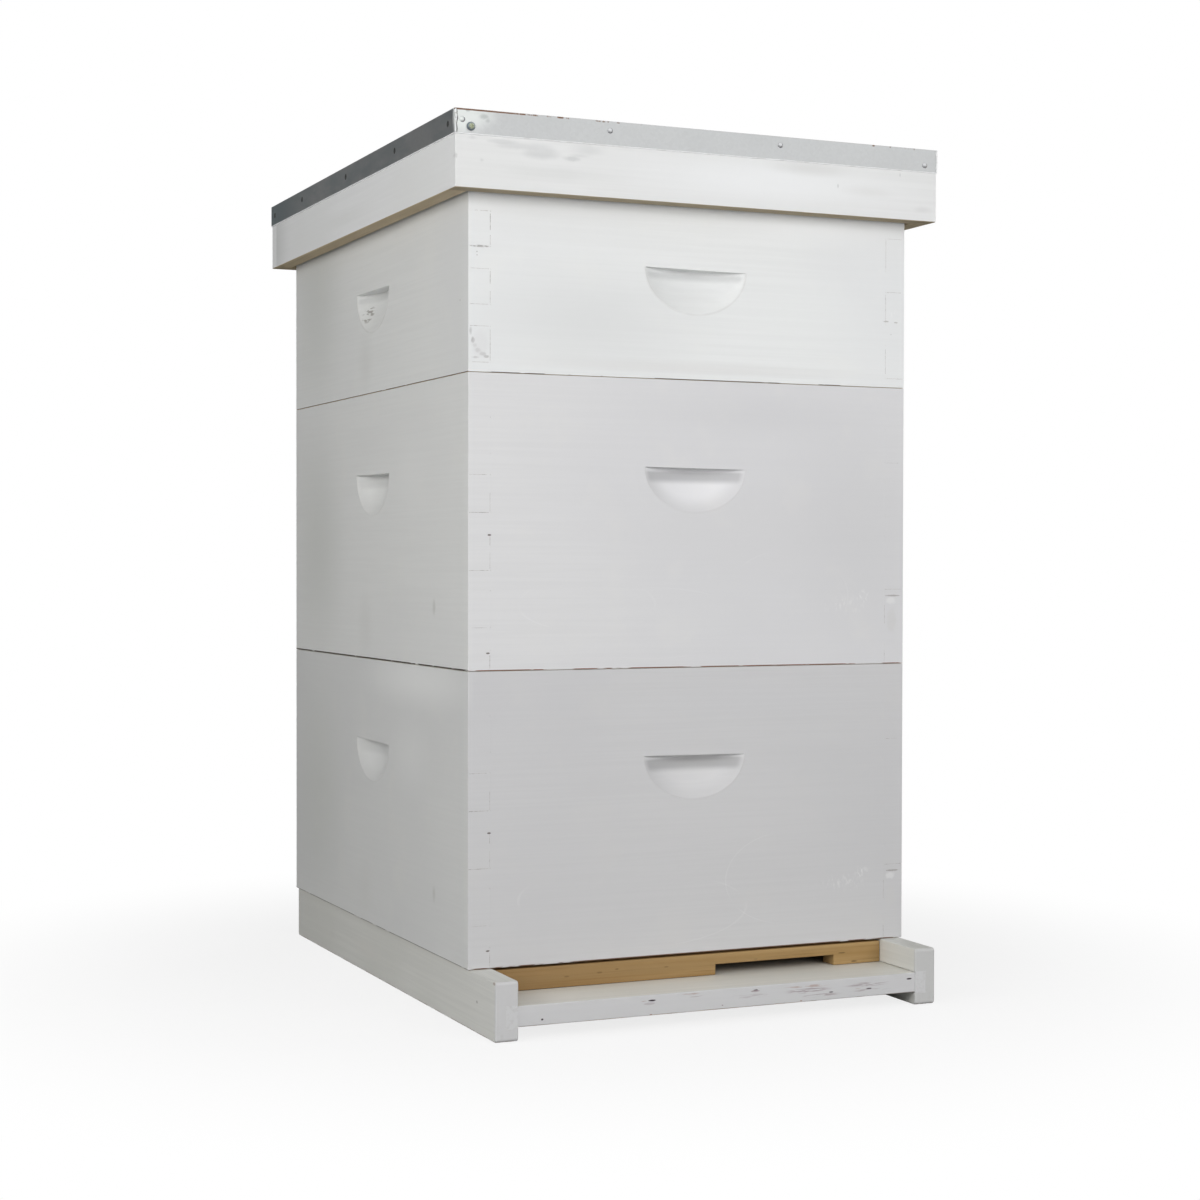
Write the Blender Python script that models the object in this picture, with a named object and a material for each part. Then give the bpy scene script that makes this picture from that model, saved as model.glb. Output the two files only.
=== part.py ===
"""Ten-frame beehive: bottom board with entrance reducer, two deep boxes, one
medium box, inner cover, telescoping outer cover with a sheet-metal cap, and
ten hanging frames in each box.

Metres, +Z up. The origin is the centre of the hive's footprint, on the ground
under the bottom board's rails. The entrance faces -Y. Dimensions below are in
millimetres and are scaled by MILLIMETRE when a mesh is made or placed.
"""

import math
from typing import NamedTuple

import bmesh
import bpy
from mathutils import Matrix, Vector

for old in list(bpy.data.objects):
    bpy.data.objects.remove(old, do_unlink=True)

MILLIMETRE = 0.001
GAP = 0.3  # clearance left between pieces that touch
OVERCUT = 5.0  # how far most cutters run past the piece they cut


class BoxKind(NamedTuple):
    height: float
    breaks: tuple  # heights above the bottom edge where corner fingers change board
    sides_first: bool  # whether the lowest finger belongs to the side boards
    frame_height: float


DEEP = BoxKind(
    height=244.475,
    breaks=(17.2, 35.6, 66.0, 82.5, 112.6, 130.0, 161.0, 178.0, 208.0),
    sides_first=True,
    frame_height=231.8,
)
MEDIUM = BoxKind(
    height=168.275,
    breaks=(8.0, 37.5, 55.3, 84.3, 102.3, 131.5),
    sides_first=False,
    frame_height=158.75,
)

# Box walls, shared by all three boxes
BOX_HALF_W = 412.75 / 2
BOX_HALF_L = 504.825 / 2
BOX_Y = 18.0  # centre of the boxes along Y
BOX_FRONT = BOX_Y - BOX_HALF_L
BOX_BACK = BOX_Y + BOX_HALF_L
BOARD = 19.05  # wall thickness

# Levels
RAIL_H = 48.5
INNER_T = 19.975
DECK_T = 19.0
SHEET = 0.5  # sheet metal thickness
LOWER_Z = RAIL_H + GAP
UPPER_Z = LOWER_Z + DEEP.height + GAP
SUPER_Z = UPPER_Z + DEEP.height + GAP
INNER_Z = SUPER_Z + MEDIUM.height + GAP
DECK_Z = INNER_Z + INNER_T + GAP
CAP_TOP = DECK_Z + DECK_T + GAP + SHEET

LOOKS = {
    "paint": {"colour": (0.80, 0.81, 0.80), "roughness": 0.55, "metallic": 0.0},
    "raw": {"colour": (0.52, 0.36, 0.19), "roughness": 0.75, "metallic": 0.0},
    "frame": {"colour": (0.66, 0.47, 0.27), "roughness": 0.75, "metallic": 0.0},
    "zinc": {"colour": (0.62, 0.64, 0.65), "roughness": 0.42, "metallic": 1.0},
}


# ---------------------------------------------------------------- solids


def metres(x, y, z):
    return Vector((x, y, z)) * MILLIMETRE


def span(side, first, second):
    """Low and high limits of a range, mirrored when side is -1."""
    return sorted((side * first, side * second))


def prism(outline, axis, low, high):
    """A closed outline extruded along an axis. The outline's two coordinates
    are the other two axes, in X, Y, Z order."""

    def spot(first, second, along):
        spots = {
            "X": (along, first, second),
            "Y": (first, along, second),
            "Z": (first, second, along),
        }
        return metres(*spots[axis])

    solid = bmesh.new()
    face = solid.faces.new([solid.verts.new(spot(*point, low)) for point in outline])
    grown = bmesh.ops.extrude_face_region(solid, geom=[face])
    moved = [item for item in grown["geom"] if isinstance(item, bmesh.types.BMVert)]
    bmesh.ops.translate(solid, verts=moved, vec=spot(0.0, 0.0, high - low))
    bmesh.ops.recalc_face_normals(solid, faces=solid.faces[:])
    return solid


def block(x_range, y_range, z_range):
    x0, x1 = x_range
    y0, y1 = y_range
    return prism([(x0, y0), (x1, y0), (x1, y1), (x0, y1)], "Z", *z_range)


def turned(profile, steps):
    """A profile of (radius, distance) points turned about the Y axis; the
    first and last points lie on the axis."""
    solid = bmesh.new()
    rings = []
    for radius, along in profile:
        if radius == 0:
            rings.append([solid.verts.new(metres(0, along, 0))])
            continue
        ring = []
        for k in range(steps):
            turn = 2 * math.pi * k / steps
            spot = metres(radius * math.cos(turn), along, radius * math.sin(turn))
            ring.append(solid.verts.new(spot))
        rings.append(ring)
    for near, far in zip(rings[:-1], rings[1:]):
        for k in range(steps):
            following = (k + 1) % steps
            corners = [
                near[k % len(near)],
                near[following % len(near)],
                far[following % len(far)],
                far[k % len(far)],
            ]
            # A ring of one point repeats its corner, leaving a triangle.
            solid.faces.new(list(dict.fromkeys(corners)))
    bmesh.ops.recalc_face_normals(solid, faces=solid.faces[:])
    return solid


def shift(solid, offset):
    bmesh.ops.translate(solid, verts=solid.verts[:], vec=Vector(offset) * MILLIMETRE)


def to_mesh(solid, name):
    mesh = bpy.data.meshes.new(name)
    solid.to_mesh(mesh)
    solid.free()
    return mesh


def combine(base, tools, operation):
    """The base with Boolean modifiers applied for each tool in turn."""
    made = []
    for solid in [base, *tools]:
        obj = bpy.data.objects.new("shape", to_mesh(solid, "shape"))
        bpy.context.scene.collection.objects.link(obj)
        made.append(obj)
    for tool in made[1:]:
        tool.hide_render = True
        step = made[0].modifiers.new("combine", "BOOLEAN")
        step.operation = operation
        step.solver = "EXACT"
        step.object = tool
    bpy.context.view_layer.update()
    graph = bpy.context.evaluated_depsgraph_get()
    mesh = bpy.data.meshes.new_from_object(made[0].evaluated_get(graph), depsgraph=graph)
    combined = bmesh.new()
    combined.from_mesh(mesh)
    for obj in made:
        bpy.data.objects.remove(obj, do_unlink=True)
    return combined


def cut(base, *tools):
    return combine(base, tools, "DIFFERENCE")


def fuse(base, *tools):
    return combine(base, tools, "UNION")


# ---------------------------------------------------------------- objects

PLACES = {None: Vector((0, 0, 0))}  # each empty's origin in hive coordinates


def material(name, colour, roughness, metallic):
    mat = bpy.data.materials.new(name)
    mat.use_nodes = True
    shader = mat.node_tree.nodes["Principled BSDF"]
    shader.inputs["Base Color"].default_value = (*colour, 1.0)
    shader.inputs["Roughness"].default_value = roughness
    shader.inputs["Metallic"].default_value = metallic
    mat.diffuse_color = (*colour, 1.0)
    return mat


def body(name, origin, parent=None):
    """An empty that carries one rigid group of pieces."""
    empty = bpy.data.objects.new(name, None)
    empty.empty_display_size = 0.05
    bpy.context.scene.collection.objects.link(empty)
    PLACES[empty] = Vector(origin)
    empty.parent = parent
    empty.location = (Vector(origin) - PLACES[parent]) * MILLIMETRE
    return empty


def place_mesh(name, mesh, parent, look, origin):
    """An object showing a mesh, with its own material on the object's slot."""
    obj = bpy.data.objects.new(name, mesh)
    obj.parent = parent
    obj.location = (Vector(origin) - PLACES[parent]) * MILLIMETRE
    if not mesh.materials:
        mesh.materials.append(None)
    bpy.context.scene.collection.objects.link(obj)
    obj.material_slots[0].link = "OBJECT"
    obj.material_slots[0].material = material(name, **LOOKS[look])
    return obj


def piece(name, solid, parent, look, origin):
    """One named solid, drawn in hive coordinates, with its own origin."""
    shift(solid, -Vector(origin))
    return place_mesh(name, to_mesh(solid, name), parent, look, origin)


# ---------------------------------------------------------------- bottom board

RAIL_W = 19.5
RAIL_OUT = 204.2  # the boxes overhang the rails slightly
RAIL_IN = RAIL_OUT - RAIL_W
RAIL_FRONT_Y = BOX_FRONT - 58.0
RAIL_ROUND = 3.0
RAIL_ROUND_STEPS = 5
FLOOR_Z = 11.2
FLOOR_T = 16.8
FLOOR_TOP = FLOOR_Z + FLOOR_T
FLOOR_SETBACK = 1.0  # behind the rails' front ends
DADO = 10.0
SLIP = 0.4  # clearance of the floor, cleat and reducer
CLEAT_T = BOARD

REDUCER_T = 19.0
REDUCER_TOP = 46.6
REDUCER_Y = BOX_FRONT + 1.0
REDUCER_Z = FLOOR_TOP + GAP
NOTCH_X0, NOTCH_X1 = 21.0, 137.5
NOTCH_H = 9.0


def rail_outline():
    """Side view (y, z) of a rail with its four corners eased."""
    y0, y1 = RAIL_FRONT_Y + RAIL_ROUND, BOX_BACK - RAIL_ROUND
    z0, z1 = RAIL_ROUND, RAIL_H - RAIL_ROUND
    outline = []
    for y, z, start in ((y1, z0, -90), (y1, z1, 0), (y0, z1, 90), (y0, z0, 180)):
        for k in range(RAIL_ROUND_STEPS + 1):
            turn = math.radians(start + 90 * k / RAIL_ROUND_STEPS)
            outline.append((y + RAIL_ROUND * math.cos(turn), z + RAIL_ROUND * math.sin(turn)))
    return outline


def add_rail(name, side, parent):
    """A side rail, grooved along its inner face for the floor."""
    rail = prism(rail_outline(), "X", *span(side, RAIL_OUT, RAIL_IN))
    dado = block(
        span(side, RAIL_IN + DADO, RAIL_IN - OVERCUT),
        (RAIL_FRONT_Y - OVERCUT, BOX_BACK + OVERCUT),
        (FLOOR_Z - GAP, FLOOR_TOP + GAP),
    )
    origin = (side * (RAIL_OUT - RAIL_W / 2), 0, 0)
    piece(name, cut(rail, dado), parent, "paint", origin)


def add_floor(parent):
    half = RAIL_IN + DADO - SLIP
    floor = block(
        (-half, half),
        (RAIL_FRONT_Y + FLOOR_SETBACK, BOX_BACK - SLIP),
        (FLOOR_Z, FLOOR_TOP),
    )
    piece("bottom_floor", floor, parent, "paint", (0, 0, FLOOR_Z))


def add_rear_cleat(parent):
    cleat = block(
        (-RAIL_IN + GAP, RAIL_IN - GAP),
        (BOX_BACK - SLIP - CLEAT_T, BOX_BACK - SLIP),
        (FLOOR_TOP + GAP, RAIL_H),
    )
    origin = (0, BOX_BACK - CLEAT_T, FLOOR_TOP)
    piece("bottom_rear_cleat", cleat, parent, "paint", origin)


def add_entrance_reducer(parent):
    """A strip across the entrance with one notch in its lower edge."""
    origin = (0, REDUCER_Y + REDUCER_T / 2, REDUCER_Z)
    slide = body("entrance_slide", origin, parent)
    reach = RAIL_IN - SLIP
    outline = [
        (-reach, REDUCER_Z),
        (NOTCH_X0, REDUCER_Z),
        (NOTCH_X0, REDUCER_Z + NOTCH_H),
        (NOTCH_X1, REDUCER_Z + NOTCH_H),
        (NOTCH_X1, REDUCER_Z),
        (reach, REDUCER_Z),
        (reach, REDUCER_TOP),
        (-reach, REDUCER_TOP),
    ]
    reducer = prism(outline, "Y", REDUCER_Y, REDUCER_Y + REDUCER_T)
    piece("entrance_reducer", reducer, slide, "raw", origin)


def bottom_board():
    bottom = body("bottom_board", (0, 0, 0))
    add_rail("bottom_rail_left", -1, bottom)
    add_rail("bottom_rail_right", 1, bottom)
    add_floor(bottom)
    add_rear_cleat(bottom)
    add_entrance_reducer(bottom)
    return bottom


# ---------------------------------------------------------------- boxes

# Half-moon hand holds
HOLD_WIDTH = 96.0
HOLD_DEPTH = 12.0
HOLD_HEIGHT = 38.5
HOLD_DROP = 74.7  # from the box's top edge to the ledge
HOLD_RINGS = 8
HOLD_STEPS = 20
HOLD_BOWL_SHARE = 0.4  # parabola's share of the dish straight below the middle
HOLD_FLARE = 1.06  # the cutter's outermost ring, relative to the hold's edge
HOLD_OUT = 1.5  # how far that ring stands off the wall

# Ledge that the frame lugs hang on, cut in the end boards' inner top edge
REST_WIDTH = 9.5
REST_DEPTH = 16.15
REST_OVERCUT = 2.0


def finger_outline(half_out, kind, own_first):
    """Outline of a board with box-joint fingers on both upright edges."""
    reaches = {True: half_out, False: half_out - BOARD - GAP}
    own = own_first
    edge = [(reaches[own], 0.0)]
    for level in kind.breaks:
        step = level - GAP / 2 if own else level + GAP / 2
        edge.append((reaches[own], step))
        own = not own
        edge.append((reaches[own], step))
    edge.append((reaches[own], kind.height))
    return edge + [(-across, up) for across, up in reversed(edge)]


def hold_hollow(far, turn):
    """Depth of a hand hold, far being 0 at its middle and 1 at its edge:
    a parabola along the ledge that blends towards a cosine bell below it."""
    share = HOLD_BOWL_SHARE + (1 - HOLD_BOWL_SHARE) * math.cos(turn) ** 2
    bell = math.cos(math.pi * far / 2) ** 2
    return HOLD_DEPTH * (share * (1 - far**2) + (1 - share) * bell)


def hand_hold(face, ledge):
    """Cutter for a half-moon hand hold in a wall whose outer face is at
    y = -face: a dished hollow, deepest at the middle of its ledge and running
    out to half an ellipse below it."""
    solid = bmesh.new()

    def spot(far, turn, deep):
        across = HOLD_WIDTH / 2 * far * math.cos(turn)
        down = HOLD_HEIGHT * far * math.sin(turn)
        return solid.verts.new(metres(across, -face + deep, ledge - down))

    turns = [math.pi * k / HOLD_STEPS for k in range(HOLD_STEPS + 1)]
    middle = spot(0.0, 0.0, hold_hollow(0.0, 0.0))
    rings = []
    for k in range(1, HOLD_RINGS):
        far = k / HOLD_RINGS
        rings.append([spot(far, turn, hold_hollow(far, turn)) for turn in turns])
    rings.append([spot(HOLD_FLARE, turn, -HOLD_OUT) for turn in turns])

    for k in range(HOLD_STEPS):
        solid.faces.new([middle, rings[0][k], rings[0][k + 1]])
    for near, far in zip(rings[:-1], rings[1:]):
        for k in range(HOLD_STEPS):
            solid.faces.new([near[k], far[k], far[k + 1], near[k + 1]])
    solid.faces.new(rings[-1])
    # The flat upper side, along the ledge
    solid.faces.new(
        [ring[0] for ring in reversed(rings)] + [middle] + [ring[-1] for ring in rings]
    )
    bmesh.ops.recalc_face_normals(solid, faces=solid.faces[:])
    return solid


def frame_rest(height):
    """Cutter for the ledge along the front board's inner top edge."""
    inner_w = BOX_HALF_W - BOARD
    inner_l = BOX_HALF_L - BOARD
    return block(
        (-inner_w, inner_w),
        (-inner_l - REST_WIDTH, -inner_l + REST_OVERCUT),
        (height - REST_DEPTH, height + REST_OVERCUT),
    )


def hive_box(label, base_z, kind, parent):
    """Four finger-jointed boards, each drawn as a front board about the box's
    centre and turned into place by quarter turns about Z."""
    centre = Vector((0, BOX_Y, base_z))
    carrier = body(label, centre, parent)
    ends = finger_outline(BOX_HALF_W, kind, not kind.sides_first)
    sides = finger_outline(BOX_HALF_L, kind, kind.sides_first)
    for quarters, name in enumerate(("front", "right", "back", "left")):
        on_end = quarters % 2 == 0
        outline, face = (ends, BOX_HALF_L) if on_end else (sides, BOX_HALF_W)
        tools = [hand_hold(face, kind.height - HOLD_DROP)]
        if on_end:
            tools.append(frame_rest(kind.height))
        board = cut(prism(outline, "Y", -face, -face + BOARD), *tools)
        turn = Matrix.Rotation(quarters * math.pi / 2, 3, "Z")
        bmesh.ops.rotate(board, verts=board.verts[:], cent=(0, 0, 0), matrix=turn)
        shift(board, centre)
        spot = Vector((0, -face + BOARD / 2, 0))
        spot.rotate(turn)
        piece(f"{label}_{name}", board, carrier, "paint", spot + centre)
    return carrier


# ---------------------------------------------------------------- frames

FRAMES = 10
FRAME_PITCH = 35.4
FRAME_DROP = 6.35  # from a box's top edge to its frames' top bars
TOP_BAR_HALF_L = 482.6 / 2
TOP_BAR_W = 27.0
TOP_BAR_H = 19.0
LUG_L = 15.9
LUG_H = 9.5
END_BAR_OUT = 447.7 / 2
END_BAR_T = 9.5
END_BAR_IN = END_BAR_OUT - END_BAR_T
END_BAR_W = 34.9
END_BAR_FOOT = 28.6
END_BAR_INSET = 1.0  # short of the frame's top and bottom
WAIST_SHARE = 0.42  # part of the frame's height where the end bars narrow
WAIST_TAPER = 14.0
BOTTOM_BAR_W = 19.0
BOTTOM_BAR_H = 9.5
BOTTOM_BAR_INSET = 0.5  # short of the end bars' outer faces
FOUNDATION_T = 1.8
FOUNDATION_LAP = 2.0  # how far the foundation sheet runs into the bars


def top_bar():
    arm = TOP_BAR_HALF_L
    shoulder = arm - LUG_L
    outline = [
        (-arm, 0),
        (arm, 0),
        (arm, -LUG_H),
        (shoulder, -LUG_H),
        (shoulder, -TOP_BAR_H),
        (-shoulder, -TOP_BAR_H),
        (-shoulder, -LUG_H),
        (-arm, -LUG_H),
    ]
    return prism(outline, "X", -TOP_BAR_W / 2, TOP_BAR_W / 2)


def end_bar(height, side):
    """An upright bar that narrows below its waist."""
    wide, foot = END_BAR_W / 2, END_BAR_FOOT / 2
    waist = -WAIST_SHARE * height
    foot_z = -height + END_BAR_INSET
    outline = [
        (-wide, -END_BAR_INSET),
        (wide, -END_BAR_INSET),
        (wide, waist),
        (foot, waist - WAIST_TAPER),
        (foot, foot_z),
        (-foot, foot_z),
        (-foot, waist - WAIST_TAPER),
        (-wide, waist),
    ]
    return prism(outline, "Y", *span(side, END_BAR_IN, END_BAR_OUT))


def frame_solid(height):
    """A wooden frame with its foundation sheet, hanging below its origin at
    the middle of the top bar's upper face."""
    bar_l = END_BAR_OUT - BOTTOM_BAR_INSET
    bottom_bar = block(
        (-BOTTOM_BAR_W / 2, BOTTOM_BAR_W / 2),
        (-bar_l, bar_l),
        (-height, -height + BOTTOM_BAR_H),
    )
    sheet_l = END_BAR_IN + FOUNDATION_LAP
    foundation = block(
        (-FOUNDATION_T / 2, FOUNDATION_T / 2),
        (-sheet_l, sheet_l),
        (-height + BOTTOM_BAR_H - FOUNDATION_LAP, -TOP_BAR_H + FOUNDATION_LAP),
    )
    return fuse(top_bar(), end_bar(height, -1), end_bar(height, 1), bottom_bar, foundation)


def hang_frames(label, mesh, base_z, kind, parent):
    """Frames side by side across the box, all sharing one mesh."""
    for k in range(FRAMES):
        x = (k - (FRAMES - 1) / 2) * FRAME_PITCH
        origin = (x, BOX_Y, base_z + kind.height - FRAME_DROP)
        place_mesh(f"{label}_{k + 1:02d}", mesh, parent, "frame", origin)


# ---------------------------------------------------------------- inner cover

INNER_RIM = 30.0
INNER_TOP = INNER_Z + INNER_T
PANEL_T = 6.0
PANEL_Z = INNER_Z + (INNER_T - PANEL_T) / 2
PANEL_TOP = PANEL_Z + PANEL_T
GROOVE = 8.3  # depth of the groove that holds the panel
PORT_LENGTH, PORT_WIDTH = 92.0, 34.0
PORT_POINTS = 24
VENT_HALF = 25.0


def rim_section(outer, inner):
    """Section of a rim from its outer face to its grooved inner face."""
    deep = inner + (GROOVE if outer > inner else -GROOVE)
    return [
        (outer, INNER_Z),
        (inner, INNER_Z),
        (inner, PANEL_Z - GAP),
        (deep, PANEL_Z - GAP),
        (deep, PANEL_TOP + GAP),
        (inner, PANEL_TOP + GAP),
        (inner, INNER_TOP),
        (outer, INNER_TOP),
    ]


def add_inner_side_rim(name, side, parent):
    section = rim_section(side * BOX_HALF_W, side * (BOX_HALF_W - INNER_RIM))
    origin = (side * (BOX_HALF_W - INNER_RIM / 2), BOX_Y, INNER_Z)
    piece(name, prism(section, "Y", BOX_FRONT, BOX_BACK), parent, "raw", origin)


def add_inner_end_rim(name, outer, inner, parent, vented):
    """A rim between the side rims; the vented one is notched from above."""
    between = BOX_HALF_W - INNER_RIM - GAP
    rim = prism(rim_section(outer, inner), "X", -between, between)
    if vented:
        vent = block(
            (-VENT_HALF, VENT_HALF),
            (outer - OVERCUT, inner + OVERCUT),
            (PANEL_TOP, INNER_TOP + OVERCUT),
        )
        rim = cut(rim, vent)
    piece(name, rim, parent, "raw", (0, (outer + inner) / 2, INNER_Z))


def port_outline():
    """Round-ended slot (x, y), long along Y, at the panel's middle."""
    radius = PORT_WIDTH / 2
    run = (PORT_LENGTH - PORT_WIDTH) / 2
    outline = []
    for k in range(PORT_POINTS):
        turn = 2 * math.pi * (k + 0.5) / PORT_POINTS
        end = run if math.cos(turn) > 0 else -run
        outline.append((radius * math.sin(turn), BOX_Y + end + radius * math.cos(turn)))
    return outline


def add_inner_panel(parent):
    margin = INNER_RIM - GROOVE + GAP
    half_w = BOX_HALF_W - margin
    half_l = BOX_HALF_L - margin
    panel = block(
        (-half_w, half_w), (BOX_Y - half_l, BOX_Y + half_l), (PANEL_Z, PANEL_TOP)
    )
    port = prism(port_outline(), "Z", PANEL_Z - OVERCUT, PANEL_TOP + OVERCUT)
    piece("inner_cover_panel", cut(panel, port), parent, "raw", (0, BOX_Y, PANEL_Z))


def inner_cover(parent):
    inner = body("inner_cover", (0, BOX_Y, INNER_Z), parent)
    add_inner_side_rim("inner_cover_rim_left", -1, inner)
    add_inner_side_rim("inner_cover_rim_right", 1, inner)
    add_inner_end_rim(
        "inner_cover_rim_front", BOX_FRONT, BOX_FRONT + INNER_RIM, inner, vented=True
    )
    add_inner_end_rim(
        "inner_cover_rim_back", BOX_BACK, BOX_BACK - INNER_RIM, inner, vented=False
    )
    add_inner_panel(inner)
    return inner


# ---------------------------------------------------------------- outer cover

COVER_HALF_W = 226.3
COVER_HALF_L = BOX_HALF_L + 22.0
WOOD_HALF_W = COVER_HALF_W - SHEET - GAP
WOOD_HALF_L = COVER_HALF_L - SHEET - GAP
RIM_T = 16.0
RIM_H = 43.1
RIM_TOP = DECK_Z - GAP
RIM_BOTTOM = RIM_TOP - RIM_H
FLANGE = 19.5  # height of the cap's turned-down edge

# One screw through the front flange, left of centre
SCREW_HOME = (-212.5, BOX_Y - COVER_HALF_L, CAP_TOP - 14.1)
SCREW_STEPS = 16
HOLE_RADIUS = 2.4
HOLE_START = -6.0  # in front of the flange
DECK_HOLE_DEPTH = 22.0
CAP_HOLE_DEPTH = 3.0
SMOOTH_ANGLE = 35  # degrees
# (radius, distance behind the flange's face), from the head's front to the tip
SCREW_PROFILE = [
    (0, -2.5), (1.6, -2.3), (2.8, -1.6), (3.5, -0.7),
    (3.6, -GAP), (2.0, -GAP), (2.0, 19.0), (0, 21.0),
]


def add_cover_side_rim(name, side, parent):
    """A rim board fitting between the front and back ones."""
    half_l = WOOD_HALF_L - RIM_T - GAP
    rim = block(
        span(side, WOOD_HALF_W, WOOD_HALF_W - RIM_T),
        (BOX_Y - half_l, BOX_Y + half_l),
        (RIM_BOTTOM, RIM_TOP),
    )
    origin = (side * (WOOD_HALF_W - RIM_T / 2), BOX_Y, RIM_BOTTOM)
    piece(name, rim, parent, "paint", origin)


def add_cover_end_rim(name, side, parent):
    near, far = span(side, WOOD_HALF_L, WOOD_HALF_L - RIM_T)
    rim = block(
        (-WOOD_HALF_W, WOOD_HALF_W), (BOX_Y + near, BOX_Y + far), (RIM_BOTTOM, RIM_TOP)
    )
    origin = (0, BOX_Y + side * (WOOD_HALF_L - RIM_T / 2), RIM_BOTTOM)
    piece(name, rim, parent, "paint", origin)


def screw_hole(depth):
    """Cutter for a round hole running back from the front flange's face."""
    profile = [(0, HOLE_START), (HOLE_RADIUS, HOLE_START), (HOLE_RADIUS, depth), (0, depth)]
    hole = turned(profile, SCREW_STEPS)
    shift(hole, SCREW_HOME)
    return hole


def add_deck(parent):
    deck = block(
        (-WOOD_HALF_W, WOOD_HALF_W),
        (BOX_Y - WOOD_HALF_L, BOX_Y + WOOD_HALF_L),
        (DECK_Z, DECK_Z + DECK_T),
    )
    deck = cut(deck, screw_hole(DECK_HOLE_DEPTH))
    piece("cover_deck", deck, parent, "raw", (0, BOX_Y, DECK_Z))


def add_metal_cap(parent):
    """A sheet tray, open below, with a hole for the screw."""
    bottom = CAP_TOP - FLANGE
    inner_w = COVER_HALF_W - SHEET
    inner_l = COVER_HALF_L - SHEET
    outside = block(
        (-COVER_HALF_W, COVER_HALF_W),
        (BOX_Y - COVER_HALF_L, BOX_Y + COVER_HALF_L),
        (bottom, CAP_TOP),
    )
    inside = block(
        (-inner_w, inner_w),
        (BOX_Y - inner_l, BOX_Y + inner_l),
        (bottom - OVERCUT, CAP_TOP - SHEET),
    )
    cap = cut(outside, inside, screw_hole(CAP_HOLE_DEPTH))
    piece("cover_metal_cap", cap, parent, "zinc", (0, BOX_Y, bottom))


def add_screw(parent):
    """The screw; its head and shank read as round, all else is flat-sided."""
    solid = turned(SCREW_PROFILE, SCREW_STEPS)
    shift(solid, SCREW_HOME)
    screw = piece("cover_screw", solid, parent, "zinc", SCREW_HOME)
    screw.data.shade_smooth()
    screw.data.set_sharp_from_angle(angle=math.radians(SMOOTH_ANGLE))


def outer_cover(parent):
    cover = body("outer_cover", (0, BOX_Y, RIM_BOTTOM), parent)
    add_cover_side_rim("cover_rim_left", -1, cover)
    add_cover_side_rim("cover_rim_right", 1, cover)
    add_cover_end_rim("cover_rim_front", -1, cover)
    add_cover_end_rim("cover_rim_back", 1, cover)
    add_deck(cover)
    add_metal_cap(cover)
    add_screw(cover)


# ---------------------------------------------------------------- hive

lower = hive_box("lower_deep", LOWER_Z, DEEP, bottom_board())
upper = hive_box("upper_deep", UPPER_Z, DEEP, lower)
medium = hive_box("super", SUPER_Z, MEDIUM, upper)

deep_frame = to_mesh(frame_solid(DEEP.frame_height), "deep_frame")
medium_frame = to_mesh(frame_solid(MEDIUM.frame_height), "medium_frame")
hang_frames("lower_frame", deep_frame, LOWER_Z, DEEP, lower)
hang_frames("upper_frame", deep_frame, UPPER_Z, DEEP, upper)
hang_frames("super_frame", medium_frame, SUPER_Z, MEDIUM, medium)

outer_cover(inner_cover(medium))
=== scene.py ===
"""Looks for the beehive: painted pine, bare pine, galvanised sheet, wax, and the
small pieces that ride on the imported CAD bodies. Metres, row frame."""

import math

import bmesh
import bpy
from mathutils import Matrix, Vector


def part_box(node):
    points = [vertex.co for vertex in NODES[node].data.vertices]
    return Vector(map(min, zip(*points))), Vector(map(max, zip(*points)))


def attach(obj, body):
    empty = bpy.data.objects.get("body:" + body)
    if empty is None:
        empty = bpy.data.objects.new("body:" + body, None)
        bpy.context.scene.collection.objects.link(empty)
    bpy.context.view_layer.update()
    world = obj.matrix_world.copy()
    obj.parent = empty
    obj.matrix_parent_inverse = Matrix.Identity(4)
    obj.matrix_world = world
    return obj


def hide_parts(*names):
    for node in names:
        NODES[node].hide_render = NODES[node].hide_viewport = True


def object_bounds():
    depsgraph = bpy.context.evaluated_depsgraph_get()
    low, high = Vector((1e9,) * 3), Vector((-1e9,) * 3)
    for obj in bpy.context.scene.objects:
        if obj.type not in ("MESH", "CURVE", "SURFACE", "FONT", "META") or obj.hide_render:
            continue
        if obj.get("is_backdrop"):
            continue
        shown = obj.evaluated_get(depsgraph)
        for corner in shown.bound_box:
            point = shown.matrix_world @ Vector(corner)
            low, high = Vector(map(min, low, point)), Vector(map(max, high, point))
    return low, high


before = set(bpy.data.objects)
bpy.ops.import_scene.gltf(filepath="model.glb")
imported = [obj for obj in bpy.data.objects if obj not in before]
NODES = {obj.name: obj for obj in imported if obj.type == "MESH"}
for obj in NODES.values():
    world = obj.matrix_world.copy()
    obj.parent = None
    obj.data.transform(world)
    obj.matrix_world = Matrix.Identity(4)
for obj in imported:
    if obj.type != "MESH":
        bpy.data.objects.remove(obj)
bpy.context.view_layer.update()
MM = 0.001
COLLECTION = bpy.context.scene.collection

# Levels and faces read from the frame
LD_LOW, LD_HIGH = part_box("lower_deep_front")
UD_LOW, UD_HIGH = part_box("upper_deep_front")
SU_LOW, SU_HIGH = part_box("super_front")
SIDE_LOW, SIDE_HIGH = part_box("lower_deep_left")
CAP_LOW, CAP_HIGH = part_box("cover_metal_cap")
RIM_LOW, RIM_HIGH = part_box("cover_rim_front")
FLOOR_LOW, FLOOR_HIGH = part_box("bottom_floor")
RAIL_LOW, RAIL_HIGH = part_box("bottom_rail_left")
RED_LOW, RED_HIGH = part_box("entrance_reducer")
FRONT_Y, BACK_Y = SIDE_LOW.y, SIDE_HIGH.y
HALF_W = SU_HIGH.x
MID_Y = (FRONT_Y + BACK_Y) / 2
BOARD = LD_HIGH.y - LD_LOW.y


# ------------------------------------------------------------------ shader kit


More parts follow.
